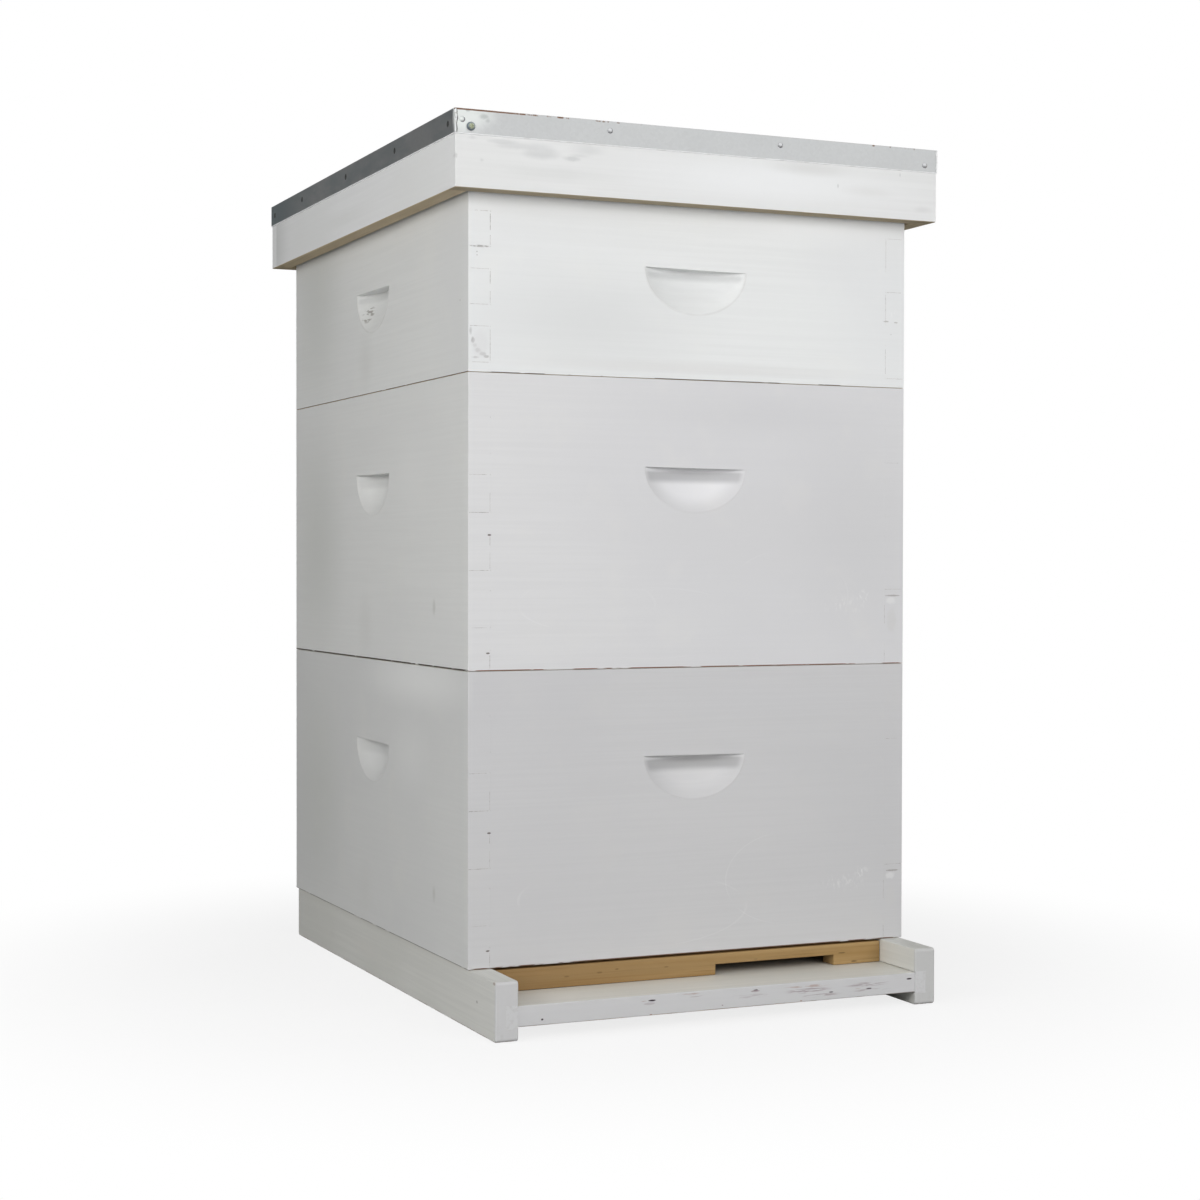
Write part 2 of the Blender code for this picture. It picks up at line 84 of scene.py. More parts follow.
class Shader:
    """A Principled material whose sockets are fed by nodes."""

    def __init__(self, name):
        self.mat = bpy.data.materials.new(name)
        self.mat.use_nodes = True
        self.tree = self.mat.node_tree
        self.bsdf = self.tree.nodes["Principled BSDF"]
        where = self.tree.nodes.new("ShaderNodeTexCoord")
        self.pos = where.outputs["Object"]
        self.normal = where.outputs["Normal"]

    def new(self, kind, **values):
        node = self.tree.nodes.new(kind)
        for key, value in values.items():
            setattr(node, key, value)
        return node

    def put(self, socket, value):
        if isinstance(value, bpy.types.NodeSocket):
            self.tree.links.new(value, socket)
        elif isinstance(value, (tuple, list)) and len(value) == 3 and socket.type == "RGBA":
            socket.default_value = (*value, 1.0)
        else:
            socket.default_value = value

    def math(self, op, a, b=0.0, c=0.0, clamp=False):
        node = self.new("ShaderNodeMath", operation=op, use_clamp=clamp)
        self.put(node.inputs[0], a)
        self.put(node.inputs[1], b)
        self.put(node.inputs[2], c)
        return node.outputs[0]

    def vmath(self, op, a, b=(0, 0, 0)):
        node = self.new("ShaderNodeVectorMath", operation=op)
        self.put(node.inputs[0], a)
        self.put(node.inputs[1], b)
        return node.outputs["Value"] if op in ("LENGTH", "DOT_PRODUCT") else node.outputs["Vector"]

    def xyz(self, vector=None):
        node = self.new("ShaderNodeSeparateXYZ")
        self.put(node.inputs[0], vector or self.pos)
        return node.outputs

    def stretched(self, scale, shift=(0, 0, 0)):
        node = self.new("ShaderNodeMapping")
        self.put(node.inputs["Vector"], self.pos)
        node.inputs["Scale"].default_value = scale
        node.inputs["Location"].default_value = shift
        return node.outputs["Vector"]

    def noise(self, vector=None, scale=1.0, detail=2.0, rough=0.5, warp=0.0):
        node = self.new("ShaderNodeTexNoise")
        self.put(node.inputs["Vector"], vector or self.pos)
        node.inputs["Scale"].default_value = scale
        node.inputs["Detail"].default_value = detail
        node.inputs["Roughness"].default_value = rough
        node.inputs["Distortion"].default_value = warp
        return node.outputs[0]

    def ramp(self, value, low, high, out_low=0.0, out_high=1.0, smooth=True):
        node = self.new("ShaderNodeMapRange")
        node.interpolation_type = "SMOOTHSTEP" if smooth else "LINEAR"
        node.clamp = True
        self.put(node.inputs["Value"], value)
        self.put(node.inputs["From Min"], low)
        self.put(node.inputs["From Max"], high)
        self.put(node.inputs["To Min"], out_low)
        self.put(node.inputs["To Max"], out_high)
        return node.outputs["Result"]

    def mix(self, factor, a, b, blend="MIX"):
        node = self.new("ShaderNodeMix", data_type="RGBA", blend_type=blend)
        node.clamp_factor = True
        self.put(node.inputs[0], factor)
        self.put(node.inputs[6], a)
        self.put(node.inputs[7], b)
        return node.outputs[2]

    def blot(self, centre, size, soft=0.35, ragged=0.0, grain=120.0, ring=False):
        """1 inside an ellipsoid round centre, in millimetres, 0 outside; a
        ring keeps only part of its outline."""
        c = Vector(centre) * MM
        away = self.vmath("SUBTRACT", self.pos, tuple(c))
        away = self.vmath("DIVIDE", away, tuple(Vector(size) * MM))
        far = self.vmath("LENGTH", away)
        if ragged:
            rough = self.noise(scale=grain, detail=3.0)
            far = self.math("MULTIPLY_ADD", rough, ragged, self.math("SUBTRACT", far, ragged / 2))
        if ring:
            thin = 0.25 / min(size[0], size[2])
            line = self.ramp(self.math("ABSOLUTE", self.math("SUBTRACT", far, 1.0)), thin, thin * 2.2, 1.0, 0.0)
            broken = self.noise(scale=13.0, detail=2.0)
            return self.math("MULTIPLY", line, self.ramp(broken, 0.50, 0.62))
        return self.ramp(far, 1.0, 1.0 - soft)

    def bump(self, height, strength=1.0, distance=0.001, base=None):
        node = self.new("ShaderNodeBump")
        node.inputs["Strength"].default_value = strength
        node.inputs["Distance"].default_value = distance
        self.put(node.inputs["Height"], height)
        if base is not None:
            self.put(node.inputs["Normal"], base)
        return node.outputs["Normal"]

    def done(self, colour, roughness, normal=None, metallic=0.0, spec=None):
        self.put(self.bsdf.inputs["Base Color"], colour)
        self.put(self.bsdf.inputs["Roughness"], roughness)
        self.put(self.bsdf.inputs["Metallic"], metallic)
        if spec is not None:
            self.bsdf.inputs["Specular IOR Level"].default_value = spec
        if normal is not None:
            self.put(self.bsdf.inputs["Normal"], normal)
        return self.mat


def grain_scale(along, fine, slow):
    return tuple(slow if axis == along else fine for axis in "XYZ")


WOOD_PALE = (0.60, 0.44, 0.25)
WOOD_MID = (0.46, 0.31, 0.155)
WOOD_DARK = (0.27, 0.165, 0.08)


def bare_wood(s, along, seed, pale=WOOD_PALE, mid=WOOD_MID, dark=WOOD_DARK):
    """Colour and height of planed pine with its grain along one axis."""
    shift = (seed * 0.37, seed * 0.61, seed * 0.83)
    bands = s.noise(s.stretched(grain_scale(along, 55.0, 2.2), shift), detail=3.0, warp=0.6)
    fibres = s.noise(s.stretched(grain_scale(along, 620.0, 9.0), shift), detail=2.0)
    cloud = s.noise(s.stretched((9, 9, 9), shift), detail=2.0)
    colour = s.mix(s.ramp(bands, 0.35, 0.68), pale, mid)
    colour = s.mix(s.ramp(fibres, 0.52, 0.78, 0.0, 0.55), colour, dark)
    colour = s.mix(s.ramp(cloud, 0.4, 0.75, 0.0, 0.28), colour, pale)
    height = s.math("MULTIPLY_ADD", fibres, 0.6, s.math("MULTIPLY", bands, 0.4))
    return colour, height


RIM_WOOD = ((0.60, 0.515, 0.36), (0.51, 0.425, 0.28), (0.37, 0.295, 0.185))


def paint(
    name,
    along,
    seed,
    tint=(0.80, 0.80, 0.795),
    streak=0.05,
    mottle=0.05,
    raw=None,
    worn=None,
    marks=(),
    grime=0.0,
    wood_tones=(WOOD_PALE, WOOD_MID, WOOD_DARK),
):
    """Brushed white paint over pine. raw(s) gives where the wood is bare, worn(s)
    where paint has rubbed off, marks are coloured blots."""
    s = Shader(name)
    shift = (seed * 1.31, seed * 0.77, seed * 0.43)
    strokes = s.noise(s.stretched(grain_scale(along, 260.0, 4.5), shift), detail=3.0, rough=0.6)
    broad = s.noise(s.stretched(grain_scale(along, 34.0, 2.6), shift), detail=2.0)
    cloud = s.noise(s.stretched((4.2, 4.2, 4.2), shift), detail=2.0)
    tooth = s.noise(s.stretched((900, 900, 900), shift), detail=1.0)
    dark = tuple(c * (1 - 2.2 * streak) for c in tint)
    light = tuple(min(0.93, c * (1 + 1.2 * streak)) for c in tint)
    shade = tuple(c * (1 - 2.0 * mottle) * k for c, k in zip(tint, (1.0, 1.003, 0.99)))
    colour = s.mix(s.ramp(strokes, 0.34, 0.66), dark, light)
    colour = s.mix(s.ramp(broad, 0.55, 0.85, 0.0, 0.5), colour, dark)
    colour = s.mix(s.ramp(cloud, 0.42, 0.72, 0.0, 0.8), colour, shade)
    if grime:
        fine = s.noise(s.stretched((38, 38, 38), shift), detail=4.0, rough=0.62)
        colour = s.mix(s.ramp(fine, 0.60, 0.80, 0.0, grime), colour, (0.42, 0.39, 0.33))
    colour = blots(s, colour, marks, shift)
    height = s.math("MULTIPLY_ADD", strokes, 0.75, s.math("MULTIPLY", tooth, 0.16))
    roughness = s.math("MULTIPLY_ADD", strokes, 0.12, 0.40)
    if worn is not None:
        gone = worn(s)
        colour = s.mix(gone, colour, (0.20, 0.125, 0.085))
        roughness = s.math("MULTIPLY_ADD", gone, 0.3, roughness)
    if raw is not None:
        bare = raw(s)
        wood, wood_height = bare_wood(s, along, seed, *wood_tones)
        colour = s.mix(bare, colour, wood)
        roughness = s.math("MULTIPLY_ADD", bare, 0.28, roughness)
        height = s.math(
            "ADD",
            s.math("MULTIPLY", height, s.math("SUBTRACT", 1.0, bare)),
            s.math("MULTIPLY", wood_height, bare),
        )
    return s.done(colour, roughness, s.bump(height, 0.16, 0.0006), spec=0.35)


def wood_material(name, along, seed, **shades):
    s = Shader(name)
    colour, height = bare_wood(s, along, seed, **shades)
    worn = s.noise(s.stretched((17, 17, 17), (seed, 0, 0)), detail=3.0)
    colour = s.mix(s.ramp(worn, 0.58, 0.8, 0.0, 0.22), colour, (0.33, 0.25, 0.16))
    roughness = s.math("MULTIPLY_ADD", height, 0.2, 0.58)
    return s.done(colour, roughness, s.bump(height, 0.35, 0.0008), spec=0.3)


# ------------------------------------------------------------------ modifiers


def clean_group():
    """Geometry nodes: drop the imported normals and weld the split corners."""
    group = bpy.data.node_groups.new("weld_corners", "GeometryNodeTree")
    group.interface.new_socket("Geometry", in_out="INPUT", socket_type="NodeSocketGeometry")
    group.interface.new_socket("Geometry", in_out="OUTPUT", socket_type="NodeSocketGeometry")
    start = group.nodes.new("NodeGroupInput")
    end = group.nodes.new("NodeGroupOutput")
    drop = group.nodes.new("GeometryNodeRemoveAttribute")
    drop.inputs["Name"].default_value = "custom_normal"
    weld = group.nodes.new("GeometryNodeMergeByDistance")
    weld.inputs["Distance"].default_value = 0.00001
    group.links.new(start.outputs[0], drop.inputs["Geometry"])
    group.links.new(drop.outputs["Geometry"], weld.inputs["Geometry"])
    group.links.new(weld.outputs["Geometry"], end.inputs[0])
    return group


def smooth_group(angle):
    """Geometry nodes: smooth shading except across edges sharper than angle."""
    group = bpy.data.node_groups.new("smooth_by_angle", "GeometryNodeTree")
    group.interface.new_socket("Geometry", in_out="INPUT", socket_type="NodeSocketGeometry")
    group.interface.new_socket("Geometry", in_out="OUTPUT", socket_type="NodeSocketGeometry")
    start = group.nodes.new("NodeGroupInput")
    end = group.nodes.new("NodeGroupOutput")
    faces = group.nodes.new("GeometryNodeSetShadeSmooth")
    faces.domain = "FACE"
    edges = group.nodes.new("GeometryNodeSetShadeSmooth")
    edges.domain = "EDGE"
    edges.inputs["Shade Smooth"].default_value = False
    bend = group.nodes.new("GeometryNodeInputMeshEdgeAngle")
    over = group.nodes.new("FunctionNodeCompare")
    over.data_type = "FLOAT"
    over.operation = "GREATER_THAN"
    over.inputs[1].default_value = angle
    group.links.new(start.outputs[0], faces.inputs[0])
    group.links.new(bend.outputs["Unsigned Angle"], over.inputs[0])
    group.links.new(faces.outputs[0], edges.inputs[0])
    group.links.new(over.outputs[0], edges.inputs["Selection"])
    group.links.new(edges.outputs[0], end.inputs[0])
    return group


WELD = clean_group()
SMOOTH = smooth_group(math.radians(11))


def soften(obj, width, segments=2, weld=True):
    """Ease a solid's sharp edges without touching its mesh."""
    if weld:
        step = obj.modifiers.new("weld", "NODES")
        step.node_group = WELD
    flat = obj.modifiers.new("flat", "DECIMATE")
    flat.decimate_type = "DISSOLVE"
    flat.angle_limit = math.radians(0.6)
    step = obj.modifiers.new("smooth", "NODES")
    step.node_group = SMOOTH
    if width:
        ease = obj.modifiers.new("ease", "BEVEL")
        ease.width = width
        ease.segments = segments
        ease.limit_method = "ANGLE"
        ease.angle_limit = math.radians(50)
        ease.miter_outer = "MITER_SHARP"
    even = obj.modifiers.new("even", "WEIGHTED_NORMAL")
    even.keep_sharp = True
    even.weight = 100


def dress(name, material, width, segments=2):
    obj = NODES[name]
    for slot in obj.material_slots:
        slot.link = "OBJECT"
        slot.material = material
    soften(obj, width, segments)
    return obj


# ------------------------------------------------------------------ pieces


def mesh_object(name, bm, material, body, smooth=False):
    mesh = bpy.data.meshes.new(name)
    bm.to_mesh(mesh)
    bm.free()
    for mat in material if isinstance(material, (list, tuple)) else [material]:
        mesh.materials.append(mat)
    if smooth:
        mesh.shade_smooth()
    obj = bpy.data.objects.new(name, mesh)
    COLLECTION.objects.link(obj)
    if body:
        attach(obj, body)
    return obj


def add_block(bm, low, high, mat=0):
    low, high = Vector(low), Vector(high)
    made = bmesh.ops.create_cube(bm, size=1.0)
    size = high - low
    for v in made["verts"]:
        v.co = Vector((v.co.x * size.x, v.co.y * size.y, v.co.z * size.z)) + (low + high) / 2
    for f in {f for v in made["verts"] for f in v.link_faces}:
        f.material_index = mat
    return made["verts"]


def add_prism(bm, outline, axis, low, high, mat=0):
    def at(a, b, t):
        return {"X": (t, a, b), "Y": (a, t, b), "Z": (a, b, t)}[axis]

    bottom = [bm.verts.new(at(a, b, low)) for a, b in outline]
    top = [bm.verts.new(at(a, b, high)) for a, b in outline]
    faces = [bm.faces.new(bottom), bm.faces.new(list(reversed(top)))]
    n = len(outline)
    for k in range(n):
        faces.append(bm.faces.new([bottom[k], top[k], top[(k + 1) % n], bottom[(k + 1) % n]]))
    for f in faces:
        f.material_index = mat
    bmesh.ops.recalc_face_normals(bm, faces=faces)
    return faces


def add_turned(bm, profile, centre, normal, steps=20, mat=0):
    """A solid of revolution: (radius, height) pairs out along the normal."""
    normal = Vector(normal).normalized()
    spin = Vector((0, 0, 1)).rotation_difference(normal).to_matrix()
    rings = []
    for radius, up in profile:
        if radius < 1e-9:
            rings.append([bm.verts.new(Vector(centre) + spin @ Vector((0, 0, up)))])
            continue
        rings.append(
            [
                bm.verts.new(
                    Vector(centre)
                    + spin
                    @ Vector(
                        (
                            radius * math.cos(2 * math.pi * k / steps),
                            radius * math.sin(2 * math.pi * k / steps),
                            up,
                        )
                    )
                )
                for k in range(steps)
            ]
        )
    faces = []
    for near, far in zip(rings[:-1], rings[1:]):
        for k in range(steps):
            n = (k + 1) % steps
            corners = []
            for v in (near[k % len(near)], near[n % len(near)], far[n % len(far)], far[k % len(far)]):
                if v not in corners:
                    corners.append(v)
            faces.append(bm.faces.new(corners))
    for f in faces:
        f.smooth = True
        f.material_index = mat
    bmesh.ops.recalc_face_normals(bm, faces=faces)
    return faces


# ------------------------------------------------------------------ the boxes

HALF_D = (BACK_Y - FRONT_Y) / 2
HOLD_DROP, HOLD_HALF, HOLD_TALL = 0.0747, 0.048, 0.0385
GREY = (0.40, 0.40, 0.39)
DARK = (0.10, 0.075, 0.065)


def inside_box(s, x, y, extra=0.0012):
    """1 on the faces that look into the box."""
    across = s.math("ABSOLUTE", x)
    deep = s.math("ABSOLUTE", s.math("SUBTRACT", y, MID_Y))
    edge_x, edge_y = HALF_W - BOARD + extra, HALF_D - BOARD + extra
    within_x = s.ramp(across, edge_x, edge_x + 0.0003, 1.0, 0.0)
    within_y = s.ramp(deep, edge_y, edge_y + 0.0003, 1.0, 0.0)
    return s.math("MULTIPLY", within_x, within_y)


def blots(s, colour, marks, shift=(0, 0, 0)):
    for mark in marks:
        hold = s.blot(
            mark["at"],
            mark["size"],
            mark.get("soft", 0.5),
            mark.get("ragged", 0.0),
            mark.get("grain", 120.0),
            mark.get("ring", False),
        )
        if mark.get("lines"):
            run = mark.get("along", "X")
            lines = s.noise(
                s.stretched(grain_scale(run, mark.get("fine", 900.0), mark.get("slow", 30.0)), shift), detail=2.0
            )
            hold = s.math("MULTIPLY", hold, s.ramp(lines, *mark["lines"]))
        colour = s.mix(s.math("MULTIPLY", hold, mark.get("strength", 1.0)), colour, mark["colour"])
    return colour


def box_paint(box_name, seed, front, side, streak, hold, marks, seam):
    """Brushed white paint on all four walls of a box, bare pine inside. The
    strokes run across each wall and over the finger joints."""
    s = Shader(f"paint_{box_name}")
    low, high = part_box(f"{box_name}_front")
    shift = (seed * 1.31, seed * 0.77, seed * 0.43)
    x, y, z = s.xyz()
    deep = s.math("ABSOLUTE", s.math("SUBTRACT", y, MID_Y))
    across = s.math("ABSOLUTE", x)
    nx, ny, nz = s.xyz(s.normal)
    on_end = s.ramp(s.math("SUBTRACT", s.math("ABSOLUTE", ny), s.math("ABSOLUTE", nx)), -0.1, 0.1)

    def strokes(fine, slow, detail):
        end = s.noise(s.stretched(grain_scale("X", fine, slow), shift), detail=detail, rough=0.6)
        flank = s.noise(s.stretched(grain_scale("Y", fine, slow), shift), detail=detail, rough=0.6)
        return s.math(
            "ADD", s.math("MULTIPLY", end, on_end), s.math("MULTIPLY", flank, s.math("SUBTRACT", 1.0, on_end))
        )

    fine = strokes(330.0, 6.0, 3.0)
    broad = strokes(26.0, 2.4, 2.0)
    cloud = s.noise(s.stretched((3.4, 3.4, 3.4), shift), detail=2.0)
    mottle = s.noise(s.stretched((21, 21, 21), shift), detail=3.0, rough=0.55)
    tooth = s.noise(s.stretched((850, 850, 850), shift), detail=1.0)
    # The wall tints carry painted shade: darker on the lower boxes, and set apart on end and side walls for how light
    # falls on them.
    tint = s.mix(on_end, side, front)
    dark = s.mix(1.0, tint, (1 - 2.2 * streak,) * 3, blend="MULTIPLY")
    pale = s.mix(1.0, tint, (min(1.1, 1 + 1.3 * streak),) * 3, blend="MULTIPLY")
    colour = s.mix(s.ramp(fine, 0.36, 0.64), dark, pale)
    colour = s.mix(s.ramp(broad, 0.5, 0.8, 0.0, 0.5), colour, dark)
    cool = s.mix(1.0, tint, (0.945, 0.945, 0.958), blend="MULTIPLY")
    warm = s.mix(1.0, tint, (1.02, 1.015, 1.0), blend="MULTIPLY")
    colour = s.mix(s.ramp(cloud, 0.40, 0.70, 0.0, 0.75), colour, cool)
    colour = s.mix(s.ramp(mottle, 0.52, 0.76, 0.0, 0.45), colour, warm)
    colour = s.mix(s.ramp(tooth, 0.60, 0.80, 0.0, 0.10), colour, dark)

    # Hand holds: painted shade in a band under the ledge, painted light on the lower bowl and just under the ledge
    ledge = high.z - HOLD_DROP
    drop = s.math("SUBTRACT", ledge, z)
    mid = s.math(
        "ADD",
        s.math("MULTIPLY", across, on_end),
        s.math("MULTIPLY", deep, s.math("SUBTRACT", 1.0, on_end)),
    )
    round_ = s.math(
        "SQRT",
        s.math(
            "ADD",
            s.math("POWER", s.math("DIVIDE", mid, HOLD_HALF), 2.0),
            s.math("POWER", s.math("DIVIDE", s.math("MAXIMUM", drop, 0.0), HOLD_TALL), 2.0),
        ),
    )
    below = s.ramp(drop, -0.0004, 0.0004)
    bowl = s.math("MULTIPLY", s.ramp(round_, 0.985, 1.01, 1.0, 0.0), below)
    rim = s.math("MULTIPLY", s.math("MULTIPLY", s.ramp(round_, 0.955, 0.985), s.ramp(round_, 1.0, 1.03, 1.0, 0.0)), below)
    # factors are (side wall, end wall)
    clean, shade, lip_painted_light = (
        s.mix(1.0, colour, s.math("MULTIPLY_ADD", on_end, hold[k][1] - hold[k][0], hold[k][0]), blend="MULTIPLY")
        for k in ("clean", "shade", "lip_painted_light")
    )
    full, done = hold["band"]
    # Painted light on the lower bowl, painted shade in the band under the ledge
    lit_lower_bowl = s.mix(s.ramp(round_, 0.62, 0.98), clean, colour)
    shaded_upper_bowl = s.mix(s.ramp(round_, 0.88, 1.0), shade, colour)
    inner = s.mix(s.ramp(drop, full, done), shaded_upper_bowl, lit_lower_bowl)
    # A painted highlight just under the ledge
    inner = s.mix(s.ramp(drop, 0.0020, 0.0045, 1.0, 0.0), inner, lip_painted_light)
    colour = s.mix(bowl, colour, inner)
    grubby = s.noise(s.stretched((90, 90, 90), shift), detail=2.0)
    colour = s.mix(
        s.math("MULTIPLY", rim, s.ramp(grubby, 0.15, 0.60, 0.3 * hold["rim"], hold["rim"])), colour, (0.40, 0.375, 0.34)
    )
    colour = blots(s, colour, marks, shift)

    # Exposed wood along the lower edge of the end walls, and a painted shadow line for the gap along the lower edge of
    # the side walls
    foot = s.ramp(z, low.z + seam["tall"], low.z + seam["tall"] + 0.0003, 1.0, 0.0)
    ragged = s.noise(s.stretched((42, 42, 260), (seed, seed, 0)), detail=3.0)
    drift = s.noise(s.stretched((7, 7, 7), (0, seed, 0)), detail=1.0)
    chipped = s.ramp(s.math("MULTIPLY_ADD", drift, 0.5, s.math("MULTIPLY", ragged, 0.75)), seam["from"], seam["from"] + 0.06)
    end_line = s.math("MULTIPLY", s.math("MULTIPLY", foot, chipped), on_end)
    colour = s.mix(end_line, colour, seam["end"])
    # A painted shadow line: the dark of the gap between this box and the part below it
    gap = s.math("MULTIPLY", s.ramp(z, low.z + seam["gap"], low.z + seam["gap"] + 0.0003, 1.0, 0.0), s.math("SUBTRACT", 1.0, on_end))
    colour = s.mix(s.math("MULTIPLY", gap, s.ramp(ragged, 0.30, 0.42)), colour, (0.055, 0.045, 0.038))

    # Bare pine inside, on the frame ledge and underneath
    bare = inside_box(s, x, y)
    edge = HALF_D - 0.0089
    ledge_zone = s.math(
        "MULTIPLY", s.ramp(deep, edge, edge + 0.0003, 1.0, 0.0), s.ramp(z, high.z - 0.0168, high.z - 0.0163)
    )
    ledge_zone = s.math("MULTIPLY", ledge_zone, s.ramp(across, 0.1886, 0.1889, 1.0, 0.0))
    under = s.ramp(z, low.z + 0.00005, low.z + 0.0002, 1.0, 0.0)
    bare = s.math("MAXIMUM", s.math("MAXIMUM", bare, ledge_zone), under)
    wood_end, height_end = bare_wood(s, "X", seed)
    wood_side, height_side = bare_wood(s, "Y", seed + 0.5)
    wood = s.mix(on_end, wood_side, wood_end)
    colour = s.mix(bare, colour, wood)
    rough = s.math("MULTIPLY_ADD", fine, 0.12, 0.40)
    rough = s.math("MULTIPLY_ADD", bare, 0.26, rough)
    height = s.math("MULTIPLY_ADD", fine, 0.40, s.math("MULTIPLY", tooth, 0.26))
    height = s.math("MULTIPLY_ADD", mottle, 0.5, height)
    height = s.math("ADD", height, s.math("MULTIPLY", s.math("MULTIPLY", height_end, bare), 0.8))
    return s.done(colour, rough, s.bump(height, 0.16, 0.0006), spec=0.35)


def front_marks(kind, base):
    """Marks on a front wall. base is the box's lower edge, in mm."""
    y = FRONT_Y / MM
    if kind == "super":
        return [
            {"at": (-100, y, base + 44), "size": (150, 9, 70), "colour": (0.76, 0.77, 0.77), "soft": 0.98, "strength": 0.75},
            # Lighter at the top right: painted light over the shadow of the cover's rim
            {"at": (110, y, base + 145), "size": (130, 9, 34), "colour": (0.93, 0.945, 0.95), "soft": 0.95, "strength": 0.8},
            {"at": (100, y, base + 60), "size": (110, 9, 44), "colour": (0.88, 0.895, 0.89), "soft": 0.9, "strength": 0.5},
            {"at": (-196.5, y, base + 102.5), "size": (11, 4, 1.1), "colour": DARK, "soft": 0.5, "strength": 0.55, "ragged": 0.5, "grain": 700.0, "lines": (0.40, 0.5), "fine": 900.0, "slow": 260.0},
            {"at": (-198.9, y, base + 97.9), "size": (0.55, 4, 0.7), "colour": DARK, "soft": 0.5, "strength": 0.55},
            {"at": (-198.8, y, base + 95.1), "size": (0.6, 4, 0.6), "colour": DARK, "soft": 0.5, "strength": 0.5},
            {"at": (-202.3, y, base + 25.7), "size": (2.1, 4, 3.2), "colour": (0.36, 0.35, 0.35), "soft": 0.6, "strength": 0.75, "ragged": 0.5, "grain": 420.0},
            {"at": (-204.4, y, base + 33.6), "size": (1.7, 4, 4.6), "colour": (0.45, 0.45, 0.45), "soft": 0.8, "strength": 0.55, "ragged": 0.7, "grain": 420.0},
            {"at": (-200.6, y, base + 21.6), "size": (2.4, 4, 2.0), "colour": (0.56, 0.555, 0.555), "soft": 0.7, "strength": 0.55, "ragged": 0.7, "grain": 420.0},
            {"at": (-198.2, y, base + 17.8), "size": (3.6, 4, 2.4), "colour": (0.46, 0.45, 0.45), "soft": 0.7, "strength": 0.6, "ragged": 0.8, "grain": 420.0},
            {"at": (-194.0, y, base + 14.8), "size": (4.0, 4, 2.2), "colour": (0.44, 0.43, 0.43), "soft": 0.7, "strength": 0.62, "ragged": 0.8, "grain": 420.0},
            {"at": (-190.6, y, base + 12.6), "size": (3.0, 4, 1.4), "colour": (0.44, 0.43, 0.43), "soft": 0.6, "strength": 0.65, "ragged": 0.8, "grain": 420.0},
            {"at": (-200.0, y, base + 11.8), "size": (4.0, 4, 1.4), "colour": (0.53, 0.52, 0.52), "soft": 0.8, "strength": 0.6, "ragged": 0.8, "grain": 420.0},
            {"at": (-196, y, base + 23), "size": (9.5, 4, 13.5), "colour": (0.76, 0.76, 0.765), "soft": 0.5, "strength": 0.5, "ragged": 0.4, "grain": 210.0},
            {"at": (187.9, y, base + 58.4), "size": (3.4, 4, 0.75), "colour": (0.36, 0.34, 0.32), "soft": 0.4, "strength": 0.6, "ragged": 0.9, "grain": 600.0},
            {"at": (198.0, y, base + 57.8), "size": (2.4, 4, 0.7), "colour": (0.36, 0.34, 0.32), "soft": 0.4, "strength": 0.55, "ragged": 0.9, "grain": 600.0},
            {"at": (195.0, y, base + 66.0), "size": (6.0, 4, 5.5), "colour": (0.95, 0.95, 0.95), "soft": 0.8, "strength": 0.4, "lines": (0.48, 0.60), "along": "Z", "fine": 380.0, "slow": 160.0},
            {"at": (192.9, y, base + 47.1), "size": (0.5, 4, 0.5), "colour": DARK, "soft": 0.5, "strength": 0.5},
            # Darker along the lower edge: painted shade
            {"at": (0, y, base + 10), "size": (210, 6, 9), "colour": (0.72, 0.71, 0.70), "soft": 0.95, "strength": 0.35},
        ]
    marks = [
        {"at": (60, y, base + 216), "size": (150, 9, 24), "colour": (0.66, 0.66, 0.675), "soft": 0.95, "strength": 0.38},
        # Darker towards the right: painted shade for the light falling off across the front
        {"at": (170, y, base + 120), "size": (120, 9, 140), "colour": (0.62, 0.62, 0.63), "soft": 0.98, "strength": 0.42},
        {"at": (40, y, base + 120), "size": (170, 9, 60), "colour": (0.69, 0.685, 0.69), "soft": 0.95, "strength": 0.30},
        {"at": (-187.9, y, base + 111.6), "size": (1.9, 4, 0.8), "colour": DARK, "soft": 0.3, "strength": 0.9, "ragged": 0.5, "grain": 900.0},
        {"at": (-189.0, y, base + 14.6), "size": (1.9, 4, 0.8), "colour": DARK, "soft": 0.3, "strength": 0.9, "ragged": 0.5, "grain": 900.0},
        {"at": (196, y, base + 60.3), "size": (8.5, 4, 0.9), "colour": (0.28, 0.25, 0.24), "soft": 0.4, "strength": 0.6, "ragged": 0.9, "grain": 500.0},
        {"at": (194, y, base + 56), "size": (6.0, 4, 4.0), "colour": (0.86, 0.86, 0.86), "soft": 0.6, "strength": 0.5, "ragged": 0.8, "grain": 300.0},
        {"at": (194.5, y, base + 38), "size": (6.0, 4, 13.0), "colour": (0.66, 0.655, 0.65), "soft": 0.5, "strength": 0.5, "ragged": 0.5, "grain": 200.0},
        {"at": (146, y, base + 52), "size": (32, 4, 10), "colour": (0.86, 0.86, 0.86), "soft": 0.9, "strength": 0.42, "lines": (0.50, 0.72), "along": "Z", "fine": 420.0, "slow": 200.0},
        {"at": (165, y, base + 60), "size": (9, 4, 8), "colour": (0.88, 0.88, 0.88), "soft": 0.8, "strength": 0.5, "lines": (0.50, 0.66), "along": "Z", "fine": 460.0, "slow": 240.0},
    ]
    # Long shallow scratches drawn as pale arcs: painted highlights where they catch the light
    for cx, cz, rx, rz, power in ((-100, 54, 62, 22, 0.16), (-40, 38, 90, 30, 0.12), (90, 60, 60, 40, 0.14)):
        marks.append(
            {"at": (cx, y, base + cz), "size": (rx, 4, rz), "colour": (0.88, 0.88, 0.885), "soft": 0.05, "strength": power, "ring": True}
        )
    return marks


